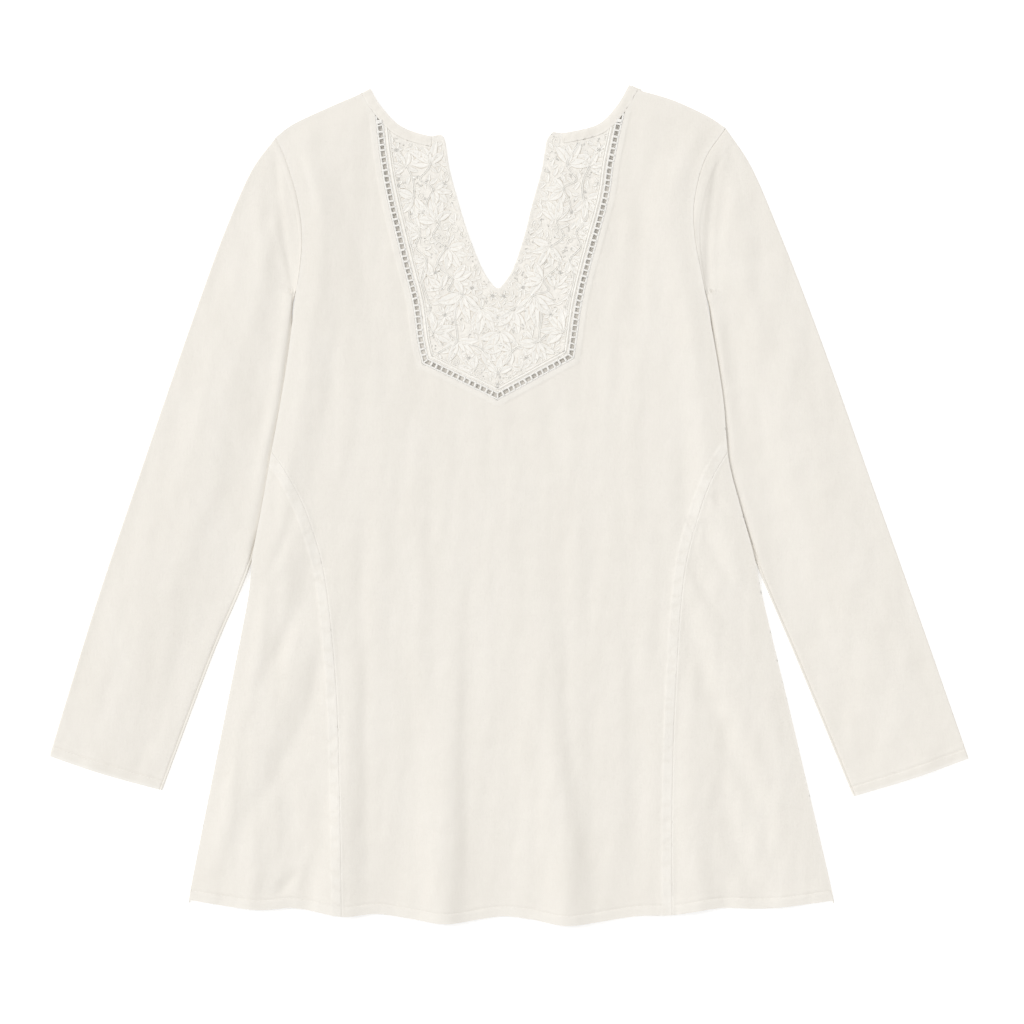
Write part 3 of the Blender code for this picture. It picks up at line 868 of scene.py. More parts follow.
def thread_stitch(start, end, radius, sides=6):
    """One stitch of sewing thread, lying along the cloth and dipping in at both ends."""
    run = end - start
    length = np.linalg.norm(run)
    ahead = run / length
    left = np.cross((0.0, 0.0, 1.0), ahead)
    left /= np.linalg.norm(left)
    up = np.cross(ahead, left)
    points = []
    for share, swell, dip in STITCH_RINGS:
        for k in range(sides):
            turn = 2 * math.pi * k / sides
            bulge = left * math.cos(turn) + up * math.sin(turn)
            points.append(start + run * share + up * dip * radius + bulge * radius * swell)
    faces = [
        (a + k, a + (k + 1) % sides, a + sides + (k + 1) % sides, a + sides + k)
        for a in range(0, 4 * sides, sides)
        for k in range(sides)
    ]
    return points, [list(range(sides))[::-1], *faces, list(range(4 * sides, 5 * sides))]


def gathered_mesh(parts):
    """Many small shapes as the points and faces of one mesh."""
    points, faces = [], []
    for part_points, part_faces in parts:
        first = len(points)
        points.extend(part_points)
        faces.extend([first + k for k in face] for face in part_faces)
    return points, faces


def even_steps(line, step):
    """A line's points at even steps."""
    line = np.array(line, float)
    lengths = run_along(line)
    places = np.linspace(0, lengths[-1], max(2, round(lengths[-1] / step) + 1))
    return np.stack([np.interp(places, lengths, line[:, k]) for k in range(line.shape[1])], axis=1)


def stitched(name, line, height):
    """A row of machine stitches along a line in the plan, at a height read from the cloth."""
    chance = np.random.default_rng(1)
    steps = even_steps(line, STITCH_PITCH)
    parts = []
    for a, b in zip(steps[:-1], steps[1:]):
        end = a + (b - a) * STITCH_LENGTH / np.linalg.norm(b - a)
        ends = np.array((a, end)) + chance.normal(0, 0.07, (2, 2))
        z = height(ends[:, 0], ends[:, 1])
        parts.append(thread_stitch(*np.column_stack((ends, z)), STITCH_THREAD))
    return mesh_piece(name, *gathered_mesh(parts))


def sewing_thread(name, colour):
    """Matt cotton thread."""
    material, tree, shader = new_finish(
        name, Base_Color=(*colour, 1), Roughness=0.7, Sheen_Weight=0.15
    )
    ply = grain(tree, add_node(tree, "TexCoord").outputs["Object"], 0.35, 0.35)
    tree.links.new(bumped(tree, 0.12, ply), shader.inputs["Normal"])
    return material


THREAD = (0.875, 0.852, 0.805)
hem_thread = sewing_thread("hem_thread", THREAD)


def hem_top(x, y):
    return front_floor(x, y) + CLOTH + HEM_FOLD / 2 - 0.42


def hem_stitches(name, line):
    row = [(x, y + HEM_DEPTH) for x, y in line][1:-1]
    return in_place(stitched(name, row, hem_top), hem_thread, "cotton")


front_stitches = hem_stitches("front_hem_stitches", hem_middle)
area_of(front_outline)


# ---------------------------------------------------------------------------------------------
# The side panels: two curved pieces that widen the front below the waist. The turnings of both
# seams are pressed to the left, where they show as a raised puckered strip.
# ---------------------------------------------------------------------------------------------

side_cotton = washed_cotton("side_cotton", IVORY, IVORY_SHADE, IVORY_LIGHTER)
for k, (name, seam, hem_part, side) in enumerate(
    zip(("left", "right"), seams, (hem_left[::-1], hem_right), beside_seam)
):
    outline = joined(seam, hem_part, side[::-1])

    def side_wall(x, y, depth, seam=seam, k=k):
        up = above_hem(x, y)
        relief = np.where(up < HEM_REACH, hem_relief(up, hem_pull(x, up, 33 + k)), 0.0)
        wall = CLOTH - side_roll(x, y) + relief
        by_seam = nearness(seam, np.stack((x, y), axis=1))[:2]
        return wall + (pressed_strip(*by_seam, 70) if k == 0 else seam_roll(*by_seam, 71))

    # Lighter along the hem, and on the left panel painted highlight on the raised strip by its
    # seam.
    def side_lightening(x, y, seam=seam, k=k):
        by_seam = nearness(seam, np.stack((x, y), axis=1))[:2]
        strip = strip_highlight(*by_seam, 70) if k == 0 else 0.0
        return np.maximum(hem_lightening(x, y), strip)

    rows = [*hem_rows, *(beside(seam, (-1, 1)[k] * gap) for gap in STRIP_ROWS)]
    panel = cut_cloth(
        "side_cloth_" + name, outline, 3.0, front_floor, side_wall, rows, lightening=side_lightening
    )
    in_place(panel, side_cotton, "cotton", "side_panel_" + name)
    stitch_line = hem_part[::-1] if k == 0 else hem_part
    panel_stitches = hem_stitches("side_hem_stitches_" + name, stitch_line)
    area_of(outline)


# ---------------------------------------------------------------------------------------------
# The ladder trim: an openwork braid let in round the yoke, with two wrapped rails and a bar of
# the same white thread every few millimetres, mitred at its two corners and its point.
# ---------------------------------------------------------------------------------------------

RAIL = 0.88
BAR = 1.0
BAR_PITCH = 5.75
END_BARS = [1.1, 2.9]  # two more at each end of the braid, where it is cut and bound
WRAP_PITCH = 0.62
LADDER_RISE = 1.2  # the middle of the threads over the front's lower skin
# BRAID_SHADE is the painted shade between the strands of the thread.
BRAID_WHITE = (0.94, 0.922, 0.885)
BRAID_SHADE = (0.90, 0.877, 0.832)
PAINTED_EDGE_SHADE = (0.67, 0.60, 0.50)  # painted shade where a stitched shape's edge sinks into the cloth


def round_tube(line, radius, sides=8, flat=1.0, pitch=WRAP_PITCH):
    """A closed tube of thread along a line of plan points and rises, as part of a mesh."""
    line = np.array(line, float)
    ahead = np.gradient(line, axis=0)
    ahead /= np.linalg.norm(ahead, axis=1)[:, None]
    left = np.cross((0.0, 0.0, 1.0), ahead)
    left /= np.linalg.norm(left, axis=1)[:, None]
    up = np.cross(ahead, left)
    radius = np.broadcast_to(radius, len(line))[:, None]
    run = run_along(line)
    turns = 2 * math.pi * np.arange(sides) / sides
    rings = np.stack(
        [line + radius * (left * math.cos(turn) + up * flat * math.sin(turn)) for turn in turns],
        axis=1,
    )
    thread = run[:, None] / pitch + np.arange(sides) / sides * 0.5
    last = (len(line) - 1) * sides
    faces = [list(range(sides))[::-1], list(range(last, last + sides))]
    for a in range(0, last, sides):
        for k in range(sides):
            b = (k + 1) % sides
            faces.append((a + k, a + b, a + sides + b, a + sides + k))
    return rings.reshape(-1, 3), faces, thread.ravel(), np.zeros(thread.size)


def thread_piece(name, parts, floor):
    """One mesh of many sewn shapes, each lying on a floor at its own rise."""
    starts = np.cumsum([0, *(len(part[0]) for part in parts)])
    points = np.concatenate([part[0] for part in parts])
    points[:, 2] += floor(points[:, 0], points[:, 1])
    faces = [[first + k for k in face] for first, part in zip(starts, parts) for face in part[1]]
    thread, outline = (np.concatenate([part[k] for part in parts]) for k in (2, 3))
    return mesh_piece(name, points, faces, thread=thread, outline=outline)


def embroidery_cotton(name, colour, shade, ridges):
    """Stranded cotton with a soft lustre, whose threads lie as each shape's marks say. Its colour
    goes darker in the hollow between each turn of the thread, which is painted shade, and varies at
    random with a fuzz.
    """
    material, tree, shader = new_finish(
        name, Roughness=0.62, Specular_IOR_Level=0.35, Sheen_Weight=0.10
    )
    fuzz = grain(tree, add_node(tree, "TexCoord").outputs["Object"], 0.8, 0.8, 3.0)
    turns = add_node(tree, "Attribute", attribute_name="thread").outputs["Fac"]
    phase = add_node(tree, "Math", operation="MULTIPLY", _0=turns, _1=2 * math.pi).outputs[0]
    wave = add_node(tree, "Math", operation="SINE", _0=phase).outputs[0]
    # Painted shade: the colour darkens with each turn of the thread, where the relief sinks between
    # strands; the fuzz adds a random tone.
    tone = weighed(tree, wave, 0.16, fuzz)
    amount = add_node(tree, "MapRange", _0=tone, _1=0.75, _2=0.25).outputs[0]
    # The outline mark blends in painted shade where a shape sinks into the cloth.
    edge = add_node(tree, "Attribute", attribute_name="outline").outputs["Fac"]
    edge_shaded = blended(tree, edge, blended(tree, amount, colour, shade), PAINTED_EDGE_SHADE)
    tree.links.new(edge_shaded, shader.inputs["Base Color"])
    relief = bumped(tree, ridges, weighed(tree, wave, 0.5, fuzz))
    tree.links.new(relief, shader.inputs["Normal"])
    return material


def shown(line):
    """The stretch of a line round the yoke between the two neck bindings."""
    return split(split(line, bindings[0])[1], bindings[1])[0]


def rising(line, rise):
    line = np.array(line)
    return np.column_stack((line, np.full(len(line), rise)))


def ladder_bars(chance):
    """A bar across the braid at each step down its legs, and one on the mitre of each corner."""
    centre = np.array(shown(ladder))
    steps = np.diff(centre, axis=0)
    turn = np.degrees(np.abs(np.diff(np.unwrap(np.arctan2(steps[:, 1], steps[:, 0])))))
    corners = [0, *(np.flatnonzero(turn > 30) + 1), len(centre) - 1]
    half = LADDER_WIDTH / 2 - RAIL
    for a, b in zip(corners, corners[1:]):
        leg = even_steps(centre[a : b + 1], 0.5)
        length = 0.5 * (len(leg) - 1)
        count = max(1, round(length / BAR_PITCH))
        spots = [bar * length / count + chance.normal(0, 0.22) for bar in range(1, count)]
        if a == 0:
            spots += END_BARS
        if b == corners[-1]:
            spots += [length - spot for spot in END_BARS]
        for spot in spots:
            k = min(max(int(spot / 0.5), 1), len(leg) - 2)
            ahead = leg[k + 1] - leg[k - 1]
            left = np.array((-ahead[1], ahead[0])) / np.linalg.norm(ahead)
            left = left + ahead / np.linalg.norm(ahead) * chance.normal(0, 0.07)
            swell = BAR * chance.uniform(0.82, 1.18)
            yield [(*(leg[k] + left * half * s), LADDER_RISE) for s in (-1, -0.4, 0.4, 1)], swell
    for k in corners[1:-1]:
        inner, outer = (beside(centre, side * half)[k] for side in (1, -1))
        yield [(*(inner + (outer - inner) * s), LADDER_RISE) for s in (0, 0.3, 0.7, 1)], BAR * 0.8


chance = np.random.default_rng(8)
rails = [shown(beside(ladder, side * (LADDER_WIDTH / 2 - RAIL))) for side in (-1, 1)]
ladder_parts = [round_tube(rising(rail, LADDER_RISE), RAIL, flat=0.75) for rail in rails]
for line, swell in ladder_bars(chance):
    radius = np.array((1.25, 0.95, 0.95, 1.25)) * swell
    ladder_parts.append(round_tube(line, radius, flat=0.72))
braid_thread = embroidery_cotton("braid_thread", BRAID_WHITE, BRAID_SHADE, 0.14)
trim = thread_piece("ladder_braid", ladder_parts, front_floor)
in_place(trim, braid_thread, "openwork_trim", "ladder_trim")
ladder_length = run_along(rails[0])[-1] * MM


# ---------------------------------------------------------------------------------------------
# The yoke: a fine sheer cotton ground, worked all over by hand with raised satin leaves, stems,
# flowers and knots in white thread. A cord is couched beside the braid, and the slit is rolled.
# ---------------------------------------------------------------------------------------------

SLIT = (
    Level(335.3, -58.7, 34.4),
    Level(308.7, -54.4, 29.9),
    Level(277.4, -46.0, 21.2),
    Level(247.9, -36.8, 13.8),
    Level(218.5, -24.8, 3.7),
    Level(203.8, -15.6, -5.5),
)
SLIT_END = Place(-10.1, 200.1)
BINDING_STOPS = 9.0
CORD = 0.85
CORD_INSET = 2.1
GROUND = 0.9  # the ground is a little thinner than the cotton round it
NET_PITCH = 0.95
MIDDLE = -10.3  # the yoke's middle line
# LEAF_SHADE is the painted shade between the strands of the thread.
LEAF_WHITE = (0.958, 0.938, 0.89)
LEAF_SHADE = (0.92, 0.893, 0.84)
GROUND_COLOUR = (0.848, 0.818, 0.762)

# A spray of leaves: how far its foot is out from the middle line, its height in the plan, the
# way it points, 0 being away from the middle and 90 up, and its longest leaf and their number.
Spray = namedtuple("Spray", "out y heading reach leaves fan width")
SPRAYS = (
    Spray(86, 341, 250, 15, 3, 90, 6.5),
    Spray(63, 314, 65, 22, 5, 140, 8.5),
    Spray(84, 312, 40, 16, 4, 130, 6.5),
    Spray(60, 292, 200, 15, 4, 130, 7.0),
    Spray(78, 284, 300, 19, 5, 150, 7.5),
    Spray(54, 262, 75, 19, 5, 130, 7.5),
    Spray(72, 252, 15, 16, 4, 120, 6.5),
    Spray(48, 238, 235, 20, 5, 140, 7.5),
    Spray(66, 226, 310, 18, 4, 120, 7.0),
    Spray(42, 208, 170, 19, 4, 110, 8.0),
    Spray(52, 200, 60, 15, 4, 110, 6.5),
    Spray(33, 194, 285, 25, 5, 120, 9.0),
    Spray(62, 182, 330, 15, 4, 150, 6.5),
    Spray(15, 182, 250, 22, 5, 110, 8.5),
    Spray(60, 160, 150, 20, 4, 120, 8.0),
    Spray(38, 152, 265, 20, 5, 140, 8.0),
    Spray(56, 140, 300, 13, 3, 90, 6.0),
    Spray(14, 143, 200, 18, 4, 110, 8.0),
    Spray(22, 124, 30, 14, 4, 120, 6.0),
)
MIDDLE_SPRAYS = (Spray(0, 158, 270, 21, 5, 130, 8.0), Spray(0, 122, 90, 14, 3, 110, 6.5))

Flower = namedtuple("Flower", "out y radius petals")
FLOWERS = (
    Flower(94, 328, 6.5, 6),
    Flower(92, 296, 5.5, 5),
    Flower(68, 270, 6.0, 6),
    Flower(82, 238, 5.5, 6),
    Flower(58, 214, 6.0, 5),
    Flower(24, 200, 6.5, 6),
    Flower(48, 176, 7.0, 7),
    Flower(70, 152, 5.5, 5),
    Flower(27, 136, 6.0, 6),
    Flower(5, 192, 4.5, 5),
)
MIDDLE_FLOWERS = (Flower(0, 173, 9.0, 8), Flower(0, 111, 4.5, 5))

# The stems that join the sprays, as places out from the middle line and up the plan.
STEMS = (
    (
        (88, 352), (74, 334), (63, 314), (72, 300), (60, 292),
        (66, 276), (54, 262), (60, 248), (48, 238),
    ),
    ((48, 238), (56, 222), (42, 208), (46, 198), (33, 194), (24, 184), (15, 182), (0, 173)),
    (
        (84, 312), (78, 298), (78, 284), (82, 266), (72, 252),
        (76, 238), (66, 226), (70, 208), (62, 182),
    ),
    ((62, 182), (66, 170), (60, 160), (48, 160), (38, 152), (26, 148), (14, 143), (0, 122)),
    ((33, 194), (40, 178), (38, 152), (50, 144), (56, 140)),
)

slit_left, slit_right = both_sides(SLIT)
slit = smooth_line([scoops[0][-1], *slit_left, SLIT_END, *slit_right[::-1], scoops[1][-1]], 2.0)


def shortened(line, length):
    """A line with a length taken off its end."""
    line = list(line)
    while np.linalg.norm(line[-1] - line[-2]) <= length:
        length -= np.linalg.norm(line[-1] - line[-2])
        line.pop()
    back = line[-2] - line[-1]
    line[-1] = line[-1] + back * length / np.linalg.norm(back)
    return line


short_scoops = [shortened(scoop, BINDING_STOPS) for scoop in scoops]
short_bindings = [beside(line, side * BINDING_WIDTH) for line, side in zip(short_scoops, (-1, 1))]
past_ladder = [split(line, ladder_lines[1])[1] for line in short_bindings]
yoke_outline = joined(
    ladder_inside,
    past_ladder[1],
    short_scoops[1][-1:],
    slit[::-1],
    short_scoops[0][-1:],
    past_ladder[0][::-1],
)


def yoke_top(x, y):
    return front_floor(x, y) + GROUND


LEAF_ACROSS = np.array((-1, -0.92, -0.78, -0.52, -0.15, 0, 0.15, 0.52, 0.78, 0.92, 1))
LEAF_ROWS = 11
SATIN_PITCH = 1.15


def satin_leaf(foot, heading, length, width, bend, high):
    """A padded leaf with a raised edge and a sunk vein, as part of a mesh: points and rises."""
    t = (1 - np.cos(np.linspace(0.0, math.pi, LEAF_ROWS))) / 2
    turn = heading + bend * (t - 0.35)
    steps = np.diff(t, prepend=0.0) * length
    ahead = np.stack((np.cos(turn), np.sin(turn)), axis=1)
    spine = foot + np.cumsum(ahead * steps[:, None], axis=0)
    half = width / 2 * np.sin(math.pi * t**0.82) ** 0.72 + 0.12
    left = np.stack((-ahead[:, 1], ahead[:, 0]), axis=1)
    plan = spine[:, None] + left[:, None] * (half[:, None] * LEAF_ACROSS)[..., None]
    edge = np.abs(LEAF_ACROSS)
    section = 0.45 * np.sqrt(1 - edge**2)
    section = section + 0.62 * hump(edge, 0.80, 0.15) - 0.42 * hump(edge, 0, 0.13)
    ends = np.clip(np.sin(math.pi * t), 0, 1) ** 0.4
    rise = high * ends[:, None] * section
    rise[:, [0, -1]] = -0.25
    thread = (t[:, None] * length + edge * half[:, None] * 0.8) / SATIN_PITCH
    across, along = len(LEAF_ACROSS), len(t)
    faces = []
    for a in range(0, (along - 1) * across, across):
        faces += [(a + k, a + across + k, a + across + k + 1, a + k + 1) for k in range(across - 1)]
        faces.append((a, a + across - 1, a + 2 * across - 1, a + across))
    last = (along - 1) * across
    faces += [list(range(across)), list(range(last, last + across))[::-1]]
    # The outline mark paints shade along the leaf's sunk edge and, more faintly, in its sunk vein.
    outline = np.broadcast_to(0.85 * (edge > 0.9) + 0.45 * (edge < 0.1), rise.shape)
    return np.dstack((plan, rise)).reshape(-1, 3), faces, thread.ravel(), outline.ravel()


def french_knot(centre, radius):
    """A wound knot, as a low dome with its thread turning round it."""
    # The outline mark paints shade on the knot's lowest ring, where it sinks into the cloth.
    points, thread, outline = [], [], []
    for level, (share, rise) in enumerate(((1.0, -0.2), (0.95, 0.35), (0.6, 0.85), (0.2, 0.75))):
        for k in range(8):
            turn = 2 * math.pi * k / 8
            out = radius * share
            x, y = centre[0] + out * math.cos(turn), centre[1] + out * math.sin(turn)
            points.append((x, y, rise * radius))
            thread.append(k / 8 + level)
            outline.append(0.8 * (level == 0))
    faces = [
        (a + k, a + (k + 1) % 8, a + 8 + (k + 1) % 8, a + 8 + k)
        for a in (0, 8, 16)
        for k in range(8)
    ]
    faces = [list(range(8))[::-1], *faces, list(range(24, 32))]
    return np.array(points), faces, np.array(thread), np.array(outline)

EDGE_ROOM = 1.9  # how near a leaf comes to the ground's edge
STEM_ROOM = 1.6
SHORTEST_LEAF = 3.6
LEAF_TRIES = 9  # a leaf that reaches over the edge is made smaller up to so many times
NOTHING_NEAR = 99.0


class Worked:
    """What has been worked on the yoke so far, and which places on its ground are still bare."""

    def __init__(self):
        self.leaves, self.lines, self.knots, self.spots = [], [], [], []
        self.inset = np.array(yoke_outline)

    def room(self, point):
        """How far a place is from the ground's edge, or less than 0 outside it."""
        gap = nearness(self.inset, np.array([point]), closed=True)[0][0]
        return gap if inside(yoke_outline, np.array([point]))[0] else -gap

    def bare(self, point):
        """How far a place is from everything that has been worked."""
        if not self.spots:
            return NOTHING_NEAR
        return np.linalg.norm(np.array(self.spots) - point, axis=1).min()

    def leaf(self, foot, heading, length, width, bend, high):
        for _ in range(LEAF_TRIES):
            turn = heading + bend * 0.3
            tip = foot + length * np.array((math.cos(turn), math.sin(turn)))
            flank = foot + (tip - foot) * 0.5
            if self.room(tip) > EDGE_ROOM and self.room(flank) > EDGE_ROOM + width * 0.42:
                break
            length, width = length * 0.88, width * 0.93
        if length < SHORTEST_LEAF:
            return
        self.leaves.append(satin_leaf(foot, heading, length, width, bend, high))
        for share in np.linspace(0.1, 0.95, max(3, int(length / 3))):
            self.spots.append(foot + (tip - foot) * share)

    def stem(self, line, radius, twin=0.0):
        line = [point for point in line if self.room(point) > STEM_ROOM]
        if len(line) < 3:
            return
        for side in (-1, 1) if twin else (0,):
            moved = beside(line, side * twin) if side else line
            rise = 0.25 + 0.1 * side
            self.lines.append(round_tube(rising(moved, rise), radius, sides=6, pitch=0.9))
        self.spots.extend(line[::2])


worked = Worked()
chance = np.random.default_rng(21)


def work_spray(spray, side):
    foot = np.array((MIDDLE + side * spray.out, spray.y)) + chance.normal(0, 0.9, 2)
    heading = math.radians(spray.heading if side > 0 else 180 - spray.heading)
    heading += chance.normal(0, 0.08)
    if worked.room(foot) < 2.5:
        return
    fan = math.radians(spray.fan)
    for k in range(spray.leaves):
        share = k / (spray.leaves - 1) - 0.5
        turn = heading + side * share * fan + chance.normal(0, 0.06)
        length = spray.reach * (1 - 0.4 * abs(share)) * chance.uniform(0.95, 1.2)
        width = spray.width * chance.uniform(0.95, 1.35)
        gap = 1.6 * np.array((math.cos(turn), math.sin(turn)))
        bend = share * side * 1.1 + chance.normal(0, 0.18)
        worked.leaf(foot + gap, turn - bend * 0.2, length, width, bend, chance.uniform(0.55, 0.95))
    worked.knots.append(french_knot(foot, 1.1))


def work_flower(flower, side):
    centre = np.array((MIDDLE + side * flower.out, flower.y)) + chance.normal(0, 0.8, 2)
    if worked.room(centre) < 3.5:
        return
    turn = chance.uniform(0, 2 * math.pi)
    for k in range(flower.petals):
        heading = turn + 2 * math.pi * k / flower.petals
        foot = centre + 1.2 * np.array((math.cos(heading), math.sin(heading)))
        long, wide = flower.radius * chance.uniform(0.9, 1.15), flower.radius * 0.62
        worked.leaf(foot, heading, long, wide, chance.normal(0, 0.25), chance.uniform(0.5, 0.8))
    for k in range(6):
        heading = turn + k * math.pi / 3
        spot = centre + (1.25 if k else 0.0) * np.array((math.cos(heading), math.sin(heading)))
        worked.knots.append(french_knot(spot, 0.72))


for side in (-1, 1):
    for stem in STEMS:
        rows = [(MIDDLE + side * out, y) for out, y in stem]
        worked.stem(smooth_line(rows, 1.5), 0.5, twin=0.62)
    for spray in SPRAYS:
        work_spray(spray, side)
    for flower in FLOWERS:
        work_flower(flower, side)
for spray in MIDDLE_SPRAYS:
    work_spray(spray, 1)
for flower in MIDDLE_FLOWERS:
    work_flower(flower, 1)

# What is still bare between the sprays is filled with scrolls, small leaves and knots.
FILL_TRIES = 5200
FILL_ROOM = 2.3
SCROLL_ROOM = 4.6
low, high = np.min(yoke_outline, axis=0), np.max(yoke_outline, axis=0)
tries = chance.uniform(low, high, (FILL_TRIES, 2))
for spot in tries[inside(yoke_outline, tries)]:
    room, bare = worked.room(spot), worked.bare(spot)
    if min(room - 0.6, bare) < FILL_ROOM:
        continue
    turn = chance.uniform(0, 2 * math.pi)
    kind = chance.random()
    if bare > SCROLL_ROOM and kind < 0.5:
        angles = np.linspace(0, chance.uniform(1.4, 1.9) * 2 * math.pi, 24)
        reach = np.linspace(0.8, min(bare, room) - 1.2, 24)
        circle = np.stack((np.cos(angles + turn), np.sin(angles + turn)), axis=1)
        scroll = spot + circle * reach[:, None]
        worked.lines.append(round_tube(rising(scroll, 0.2), 0.42, sides=6, pitch=0.9))
        worked.spots.extend(scroll[::4])
    elif kind < 0.8:
        length = min(bare + 1, room, 5.5) * 1.7
        foot = spot - 0.5 * length * np.array((math.cos(turn), math.sin(turn)))
        worked.leaf(foot, turn, length, length * 0.52, chance.normal(0, 0.5), 0.6)
        worked.spots.append(spot)
    else:
        for k in range(chance.integers(2, 5)):
            knot = spot + chance.normal(0, 1.1, 2)
            worked.knots.append(french_knot(knot, chance.uniform(0.6, 0.85)))
        worked.spots.append(spot)

# Pulled-thread eyelets, between the worked shapes.
EYELETS = 55
EYELET_TRIES = 1500
EYELET_APART = 3.4
EYELET_ROOM = 3.2
eyelets, eyelet_spots = [], []
for spot in chance.uniform(low, high, (EYELET_TRIES, 2)):
    if len(eyelets) >= EYELETS:
        break
    apart = min([np.linalg.norm(spot - other) for other in eyelet_spots], default=NOTHING_NEAR)
    if apart < EYELET_APART or worked.room(spot) < EYELET_ROOM:
        continue
    turn = chance.uniform(0, math.pi)
    long, wide = chance.uniform(0.45, 0.95), chance.uniform(0.30, 0.45)
    eyelet = []
    for a in (2 * math.pi * k / 8 for k in range(8)):
        x = spot[0] + long * math.cos(a) * math.cos(turn) - wide * math.sin(a) * math.sin(turn)
        y = spot[1] + long * math.cos(a) * math.sin(turn) + wide * math.sin(a) * math.cos(turn)
        eyelet.append((x, y))
    eyelets.append(eyelet)
    eyelet_spots.append(spot)


def yoke_wall(x, y, depth):
    plan = np.stack((x, y), axis=1)
    by_braid = nearness(ladder_inside, plan)[0]
    by_slit = nearness(slit, plan)[0]
    wall = GROUND + 0.30 * within(by_braid, 4.0, 0.6)
    return wall + 0.35 * hump(by_slit, 1.3, 1.1) + 0.10 * rumpled(x, y, 17, 1.0, lengths=(3.5, 9.0))


def sheer_ground(name, colour):
    """Fine sheer cotton, whose open net shows as close pits, with painted shade where its relief is
    low and a random tone.
    """
    material, tree, shader = new_finish(name, Roughness=0.8, Specular_IOR_Level=0.25)
    place = add_node(tree, "TexCoord").outputs["Object"]
    pits = add_node(tree, "TexVoronoi", Vector=place, Scale=1 / (NET_PITCH * MM))
    tone = weighed(tree, pits.outputs["Distance"], -0.5, grain(tree, place, 5.0, 5.0, 3.0))
    amount = add_node(tree, "MapRange", _0=tone, _1=0.0, _2=0.6).outputs[0]
    # Painted shade: the colour is darker where the net's relief is low; the grain adds a random
    # tone.
    darker, lighter = ([share * c for c in colour] for share in (0.90, 1.06))
    tree.links.new(blended(tree, amount, darker, lighter), shader.inputs["Base Color"])
    tree.links.new(bumped(tree, 0.22, tone), shader.inputs["Normal"])
    return material


ground_rows = [beside(ladder_inside, gap) for gap in (1.2, 3.0, 4.0, 5.0)]
ground_rows += [beside(slit, side * gap) for side in (-1, 1) for gap in (0.9, 1.6, 2.6)]
ground = cut_cloth(
    "yoke_ground", yoke_outline, 1.7, front_floor, yoke_wall, ground_rows, holes=eyelets
)
in_place(ground, sheer_ground("yoke_sheer", GROUND_COLOUR), "embroidered_lace", "yoke")

leaf_thread = embroidery_cotton("leaf_thread", LEAF_WHITE, LEAF_SHADE, 0.20)
cords = [shown(beside(ladder_inside, inset)) for inset in (CORD_INSET, CORD_INSET + 2.1)]
cord_parts = [
    round_tube(rising(cord, 0.45), radius, pitch=1.1) for cord, radius in zip(cords, (CORD, 0.45))
]
yoke_pieces = [
    thread_piece("yoke_leaves", worked.leaves, yoke_top),
    thread_piece("yoke_stems", worked.lines, yoke_top),
    thread_piece("yoke_knots", worked.knots, yoke_top),
    thread_piece("yoke_cord", cord_parts, yoke_top),
]
for piece in yoke_pieces:
    in_place(piece, leaf_thread, "embroidered_lace")
area_of(yoke_outline)


# ---------------------------------------------------------------------------------------------
# The neck bindings: a folded strip of the cotton round each side of the neck, eased round the
# curve so that it puckers, and edge-stitched where it meets the front.
# ---------------------------------------------------------------------------------------------

BINDING = 1.9
BINDING_EDGE = 1.5

for k, (name, near, far) in enumerate(zip(("left", "right"), short_scoops, short_bindings)):
    outline = joined(near, far[::-1])

    def bound_wall(x, y, depth, near=near, far=far, k=k):
        plan = np.stack((x, y), axis=1)
        from_neck, along, _ = nearness(near, plan)
        from_front = nearness(far, plan)[0]
        roll = 0.35 * soft(from_neck / 2.6) - 0.22 * hump(from_front, BINDING_EDGE + 1.0, 0.6)
        draw = puckers(along, from_neck, BINDING_WIDTH + 1, 6.5, 90 + k)
        from_end = run_along(near)[-1] - along
        sunk = 0.42 * within(np.minimum(from_front, from_end), 1.2, 1.2)
        return BINDING - 0.35 + roll - sunk - 0.55 * draw

    rows = [beside(near, (-1, 1)[k] * gap) for gap in (1.6, 3.0, 4.4, 5.8, 6.5, 7.0, 7.6, 8.2)]
    bound = cut_cloth("neck_bound_" + name, outline, 2.0, front_floor, bound_wall, rows)
    in_place(bound, binding_cotton, "binding", "neck_binding_" + name)
    length = run_along(near)[-1] * MM
    min(area_of(outline), 0.0102 * length * 1.05)


# ---------------------------------------------------------------------------------------------
# The sleeves: each one piece of the cotton, folded along its outer edge and joined by a seam
# under the arm, with a turned and stitched cuff. Its inner edge is tucked under the body.
# ---------------------------------------------------------------------------------------------

